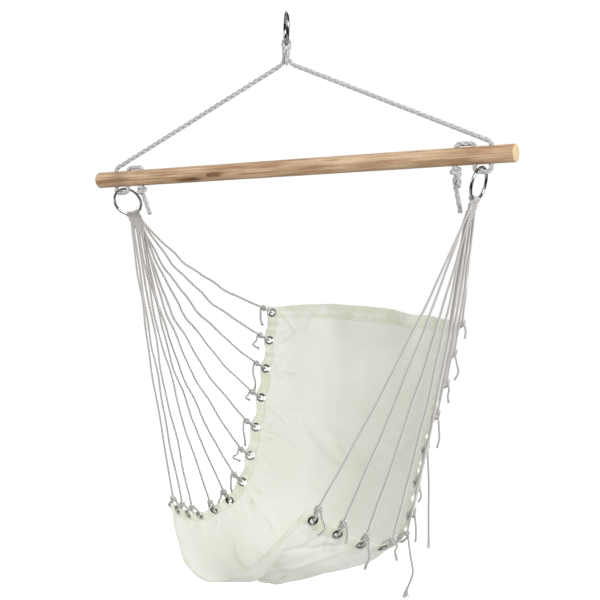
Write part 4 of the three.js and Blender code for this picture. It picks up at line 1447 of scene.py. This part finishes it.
def layPads(points):
    # the cloth under each grommet lies flat in it
    pinned = set()
    for side in sides:
        for pad in pads[side]:
            away = points - pad["centre"]
            reach = np.linalg.norm(away, axis=1)
            for i in np.nonzero(reach < 2 * clothSim["padReach"])[0]:
                off = away[i] @ pad["face"]
                keep = smoothShare(reach[i] / clothSim["padReach"] - 1)
                points[i] = points[i] - pad["face"] * off * (1 - keep)
                if reach[i] < clothSim["padReach"]:
                    pinned.add(int(i))
    return points, sorted(pinned)


def settleCloth(piece, points, flat, pinned):
    piece.vertex_groups.new(name="held").add(pinned, 1.0, "REPLACE")
    piece.shape_key_add(name="hung")
    cut = piece.shape_key_add(name="flat")
    cut.data.foreach_set("co", flat.astype(np.float32).ravel())
    modifier = piece.modifiers.new("cloth", "CLOTH")
    settings = modifier.settings
    settings.quality = clothSim["quality"]
    settings.mass = clothSim["mass"]
    settings.tension_stiffness = settings.compression_stiffness = clothSim["tension"]
    settings.shear_stiffness = clothSim["shear"]
    settings.bending_stiffness = clothSim["bending"]
    settings.effector_weights.gravity = clothSim["gravity"]
    settings.air_damping = clothSim["damping"]
    settings.vertex_group_mass = "held"
    settings.pin_stiffness = 1.0
    settings.rest_shape_key = cut
    modifier.point_cache.frame_start = 1
    modifier.point_cache.frame_end = clothSim["frames"]
    scene = bpy.context.scene
    for number in range(1, clothSim["frames"] + 1):
        scene.frame_set(number)
    settled = piece.evaluated_get(bpy.context.evaluated_depsgraph_get()).to_mesh()
    moved = np.zeros(len(settled.vertices) * 3)
    settled.vertices.foreach_get("co", moved)
    piece.evaluated_get(bpy.context.evaluated_depsgraph_get()).to_mesh_clear()
    scene.frame_set(1)
    piece.modifiers.clear()
    piece.shape_key_clear()
    piece.vertex_groups.clear()
    move = moved.reshape(-1, 3) - points
    size = np.linalg.norm(move, axis=1)[:, None] + 1e-9
    print("cloth settled, a point moved at most", round(float(size.max()), 4))
    return points + move / size * clothSim["mostMove"] * np.tanh(size / clothSim["mostMove"])


def punchHoles(piece):
    grid = bmesh.new()
    grid.from_mesh(piece.data)
    centres = [pad["centre"] for side in sides for pad in pads[side]]
    tree = KDTree(len(centres))
    for i, centre in enumerate(centres):
        tree.insert(centre, i)
    tree.balance()
    gone = [f for f in grid.faces if tree.find(f.calc_center_median())[2] < clothSim["holeReach"]]
    bmesh.ops.delete(grid, geom=gone, context="FACES")
    grid.to_mesh(piece.data)
    grid.free()


def addSeatCloth():
    points, flat, hems = clothShape()
    points, pinned = layPads(points)
    faces = clothFaces(clothSim["along"], clothSim["across"])
    draft = addMesh("draft", points, faces, canvas, flat[:, :2])
    points = settleCloth(draft, points, flat, pinned)
    bpy.data.objects.remove(draft)
    grid, worn = addRelief(finerCloth(points))
    points, _ = layPads(grid.reshape(-1, 3))
    flat, hems = finerCloth(flat), finerCloth(hems)
    piece = addMesh("seatCloth", points, clothFaces(*grid.shape[:2]), canvas,
                    flat.reshape(-1, 3)[:, :2])
    addMap(piece.data, "hem", hems)
    addMap(piece.data, "worn", np.stack([worn, worn], axis=2))
    punchHoles(piece)
    thick = piece.modifiers.new("thick", "SOLIDIFY")
    thick.thickness = clothSim["thickness"]
    thick.offset = 0
    applied(piece)
    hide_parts("seat_cloth")
    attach(piece, "seat")


addSeatCloth()
print("seat cloth hung")


# Studio: white all round, a pale floor well below the seat, soft lamps

studio = {
    "floorHeight": -1.66, "floorSize": 60, "floorColour": (0.78, 0.78, 0.78, 1), "floorGlow": 0.72,
    "floorRoughness": 0.8, "skyLight": 0.60, "bandTilt": 0.16,
    "bands": [(0.0, 0.50), (0.12, 0.45), (0.16, 0.02), (0.455, 0.02), (0.475, 0.28), (0.52, 0.28),
              (0.54, 0.01), (0.61, 0.01), (0.63, 0.85), (0.66, 0.85),
              (0.68, 0.01), (0.76, 0.01), (0.79, 1.0), (0.85, 1.0), (0.88, 0.02), (1.0, 0.02)],
    "lamps": [((3.3, -1.5, 0.9), (0, 0, -0.7), 1.5, 74), ((-2.4, -2.9, 1.4), (0, 0, -0.7), 1.8, 32),
              ((-0.6, 2.6, 1.8), (0, 0, -0.7), 1.6, 22)],
}


def addWorld():
    # the camera sees white, metal mirrors bright and dark studio panels, the rest is even light
    world = bpy.data.worlds.new("studio")
    world.use_nodes = True
    tree = world.node_tree
    tree.nodes.clear()
    path = tree.nodes.new("ShaderNodeLightPath")
    way = splitVector(tree, tree.nodes.new("ShaderNodeTexCoord").outputs["Generated"])
    tilted = mathNode(tree, "MULTIPLY_ADD", way["X"], studio["bandTilt"], 0.5)
    height = plus(tree, times(tree, way["Z"], 0.5), tilted)
    panels = colourRamp(tree, height, studio["bands"])
    lit, seen, mirrored = (tree.nodes.new("ShaderNodeBackground") for _ in range(3))
    lit.inputs["Color"].default_value = seen.inputs["Color"].default_value = (1, 1, 1, 1)
    lit.inputs["Strength"].default_value = studio["skyLight"]
    tree.links.new(panels, mirrored.inputs["Color"])
    metal, camera = tree.nodes.new("ShaderNodeMixShader"), tree.nodes.new("ShaderNodeMixShader")
    out = tree.nodes.new("ShaderNodeOutputWorld")
    white = mathNode(tree, "MAXIMUM", path.outputs["Is Camera Ray"],
                     path.outputs["Is Transmission Ray"])
    mixed = ((metal, (path.outputs["Is Glossy Ray"], lit.outputs[0], mirrored.outputs[0])),
             (camera, (white, metal.outputs[0], seen.outputs[0])), (out, (camera.outputs[0],)))
    for node, sources in mixed:
        for socket, source in zip(node.inputs, sources):
            tree.links.new(source, socket)
    bpy.context.scene.world = world


def addFloor():
    size, height = studio["floorSize"] / 2, studio["floorHeight"]
    material, tree, shader = newMaterial("pale floor")
    shader.inputs["Base Color"].default_value = studio["floorColour"]
    shader.inputs["Roughness"].default_value = studio["floorRoughness"]
    shader.inputs["Emission Color"].default_value = (1, 1, 1, 1)
    camera = tree.nodes.new("ShaderNodeLightPath").outputs["Is Camera Ray"]
    tree.links.new(times(tree, camera, studio["floorGlow"]),
                   shader.inputs["Emission Strength"])
    points = [(x * size, y * size, height) for x, y in ((-1, -1), (1, -1), (1, 1), (-1, 1))]
    floor = addMesh("floor", points, [(0, 1, 2, 3)], material)
    floor.visible_glossy = False


def addLamp(number, place, aim, size, power):
    data = bpy.data.lights.new(f"softLamp{number}", "AREA")
    data.size = size
    data.energy = power
    lamp = bpy.data.objects.new(f"softLamp{number}", data)
    lamp.location = place
    lamp.rotation_euler = (Vector(aim) - Vector(place)).to_track_quat("-Z", "Y").to_euler()
    bpy.context.scene.collection.objects.link(lamp)


addWorld()
addFloor()
for number, lamp in enumerate(studio["lamps"]):
    addLamp(number, *lamp)
bpy.context.scene.view_settings.view_transform = "Standard"
print("studio set")
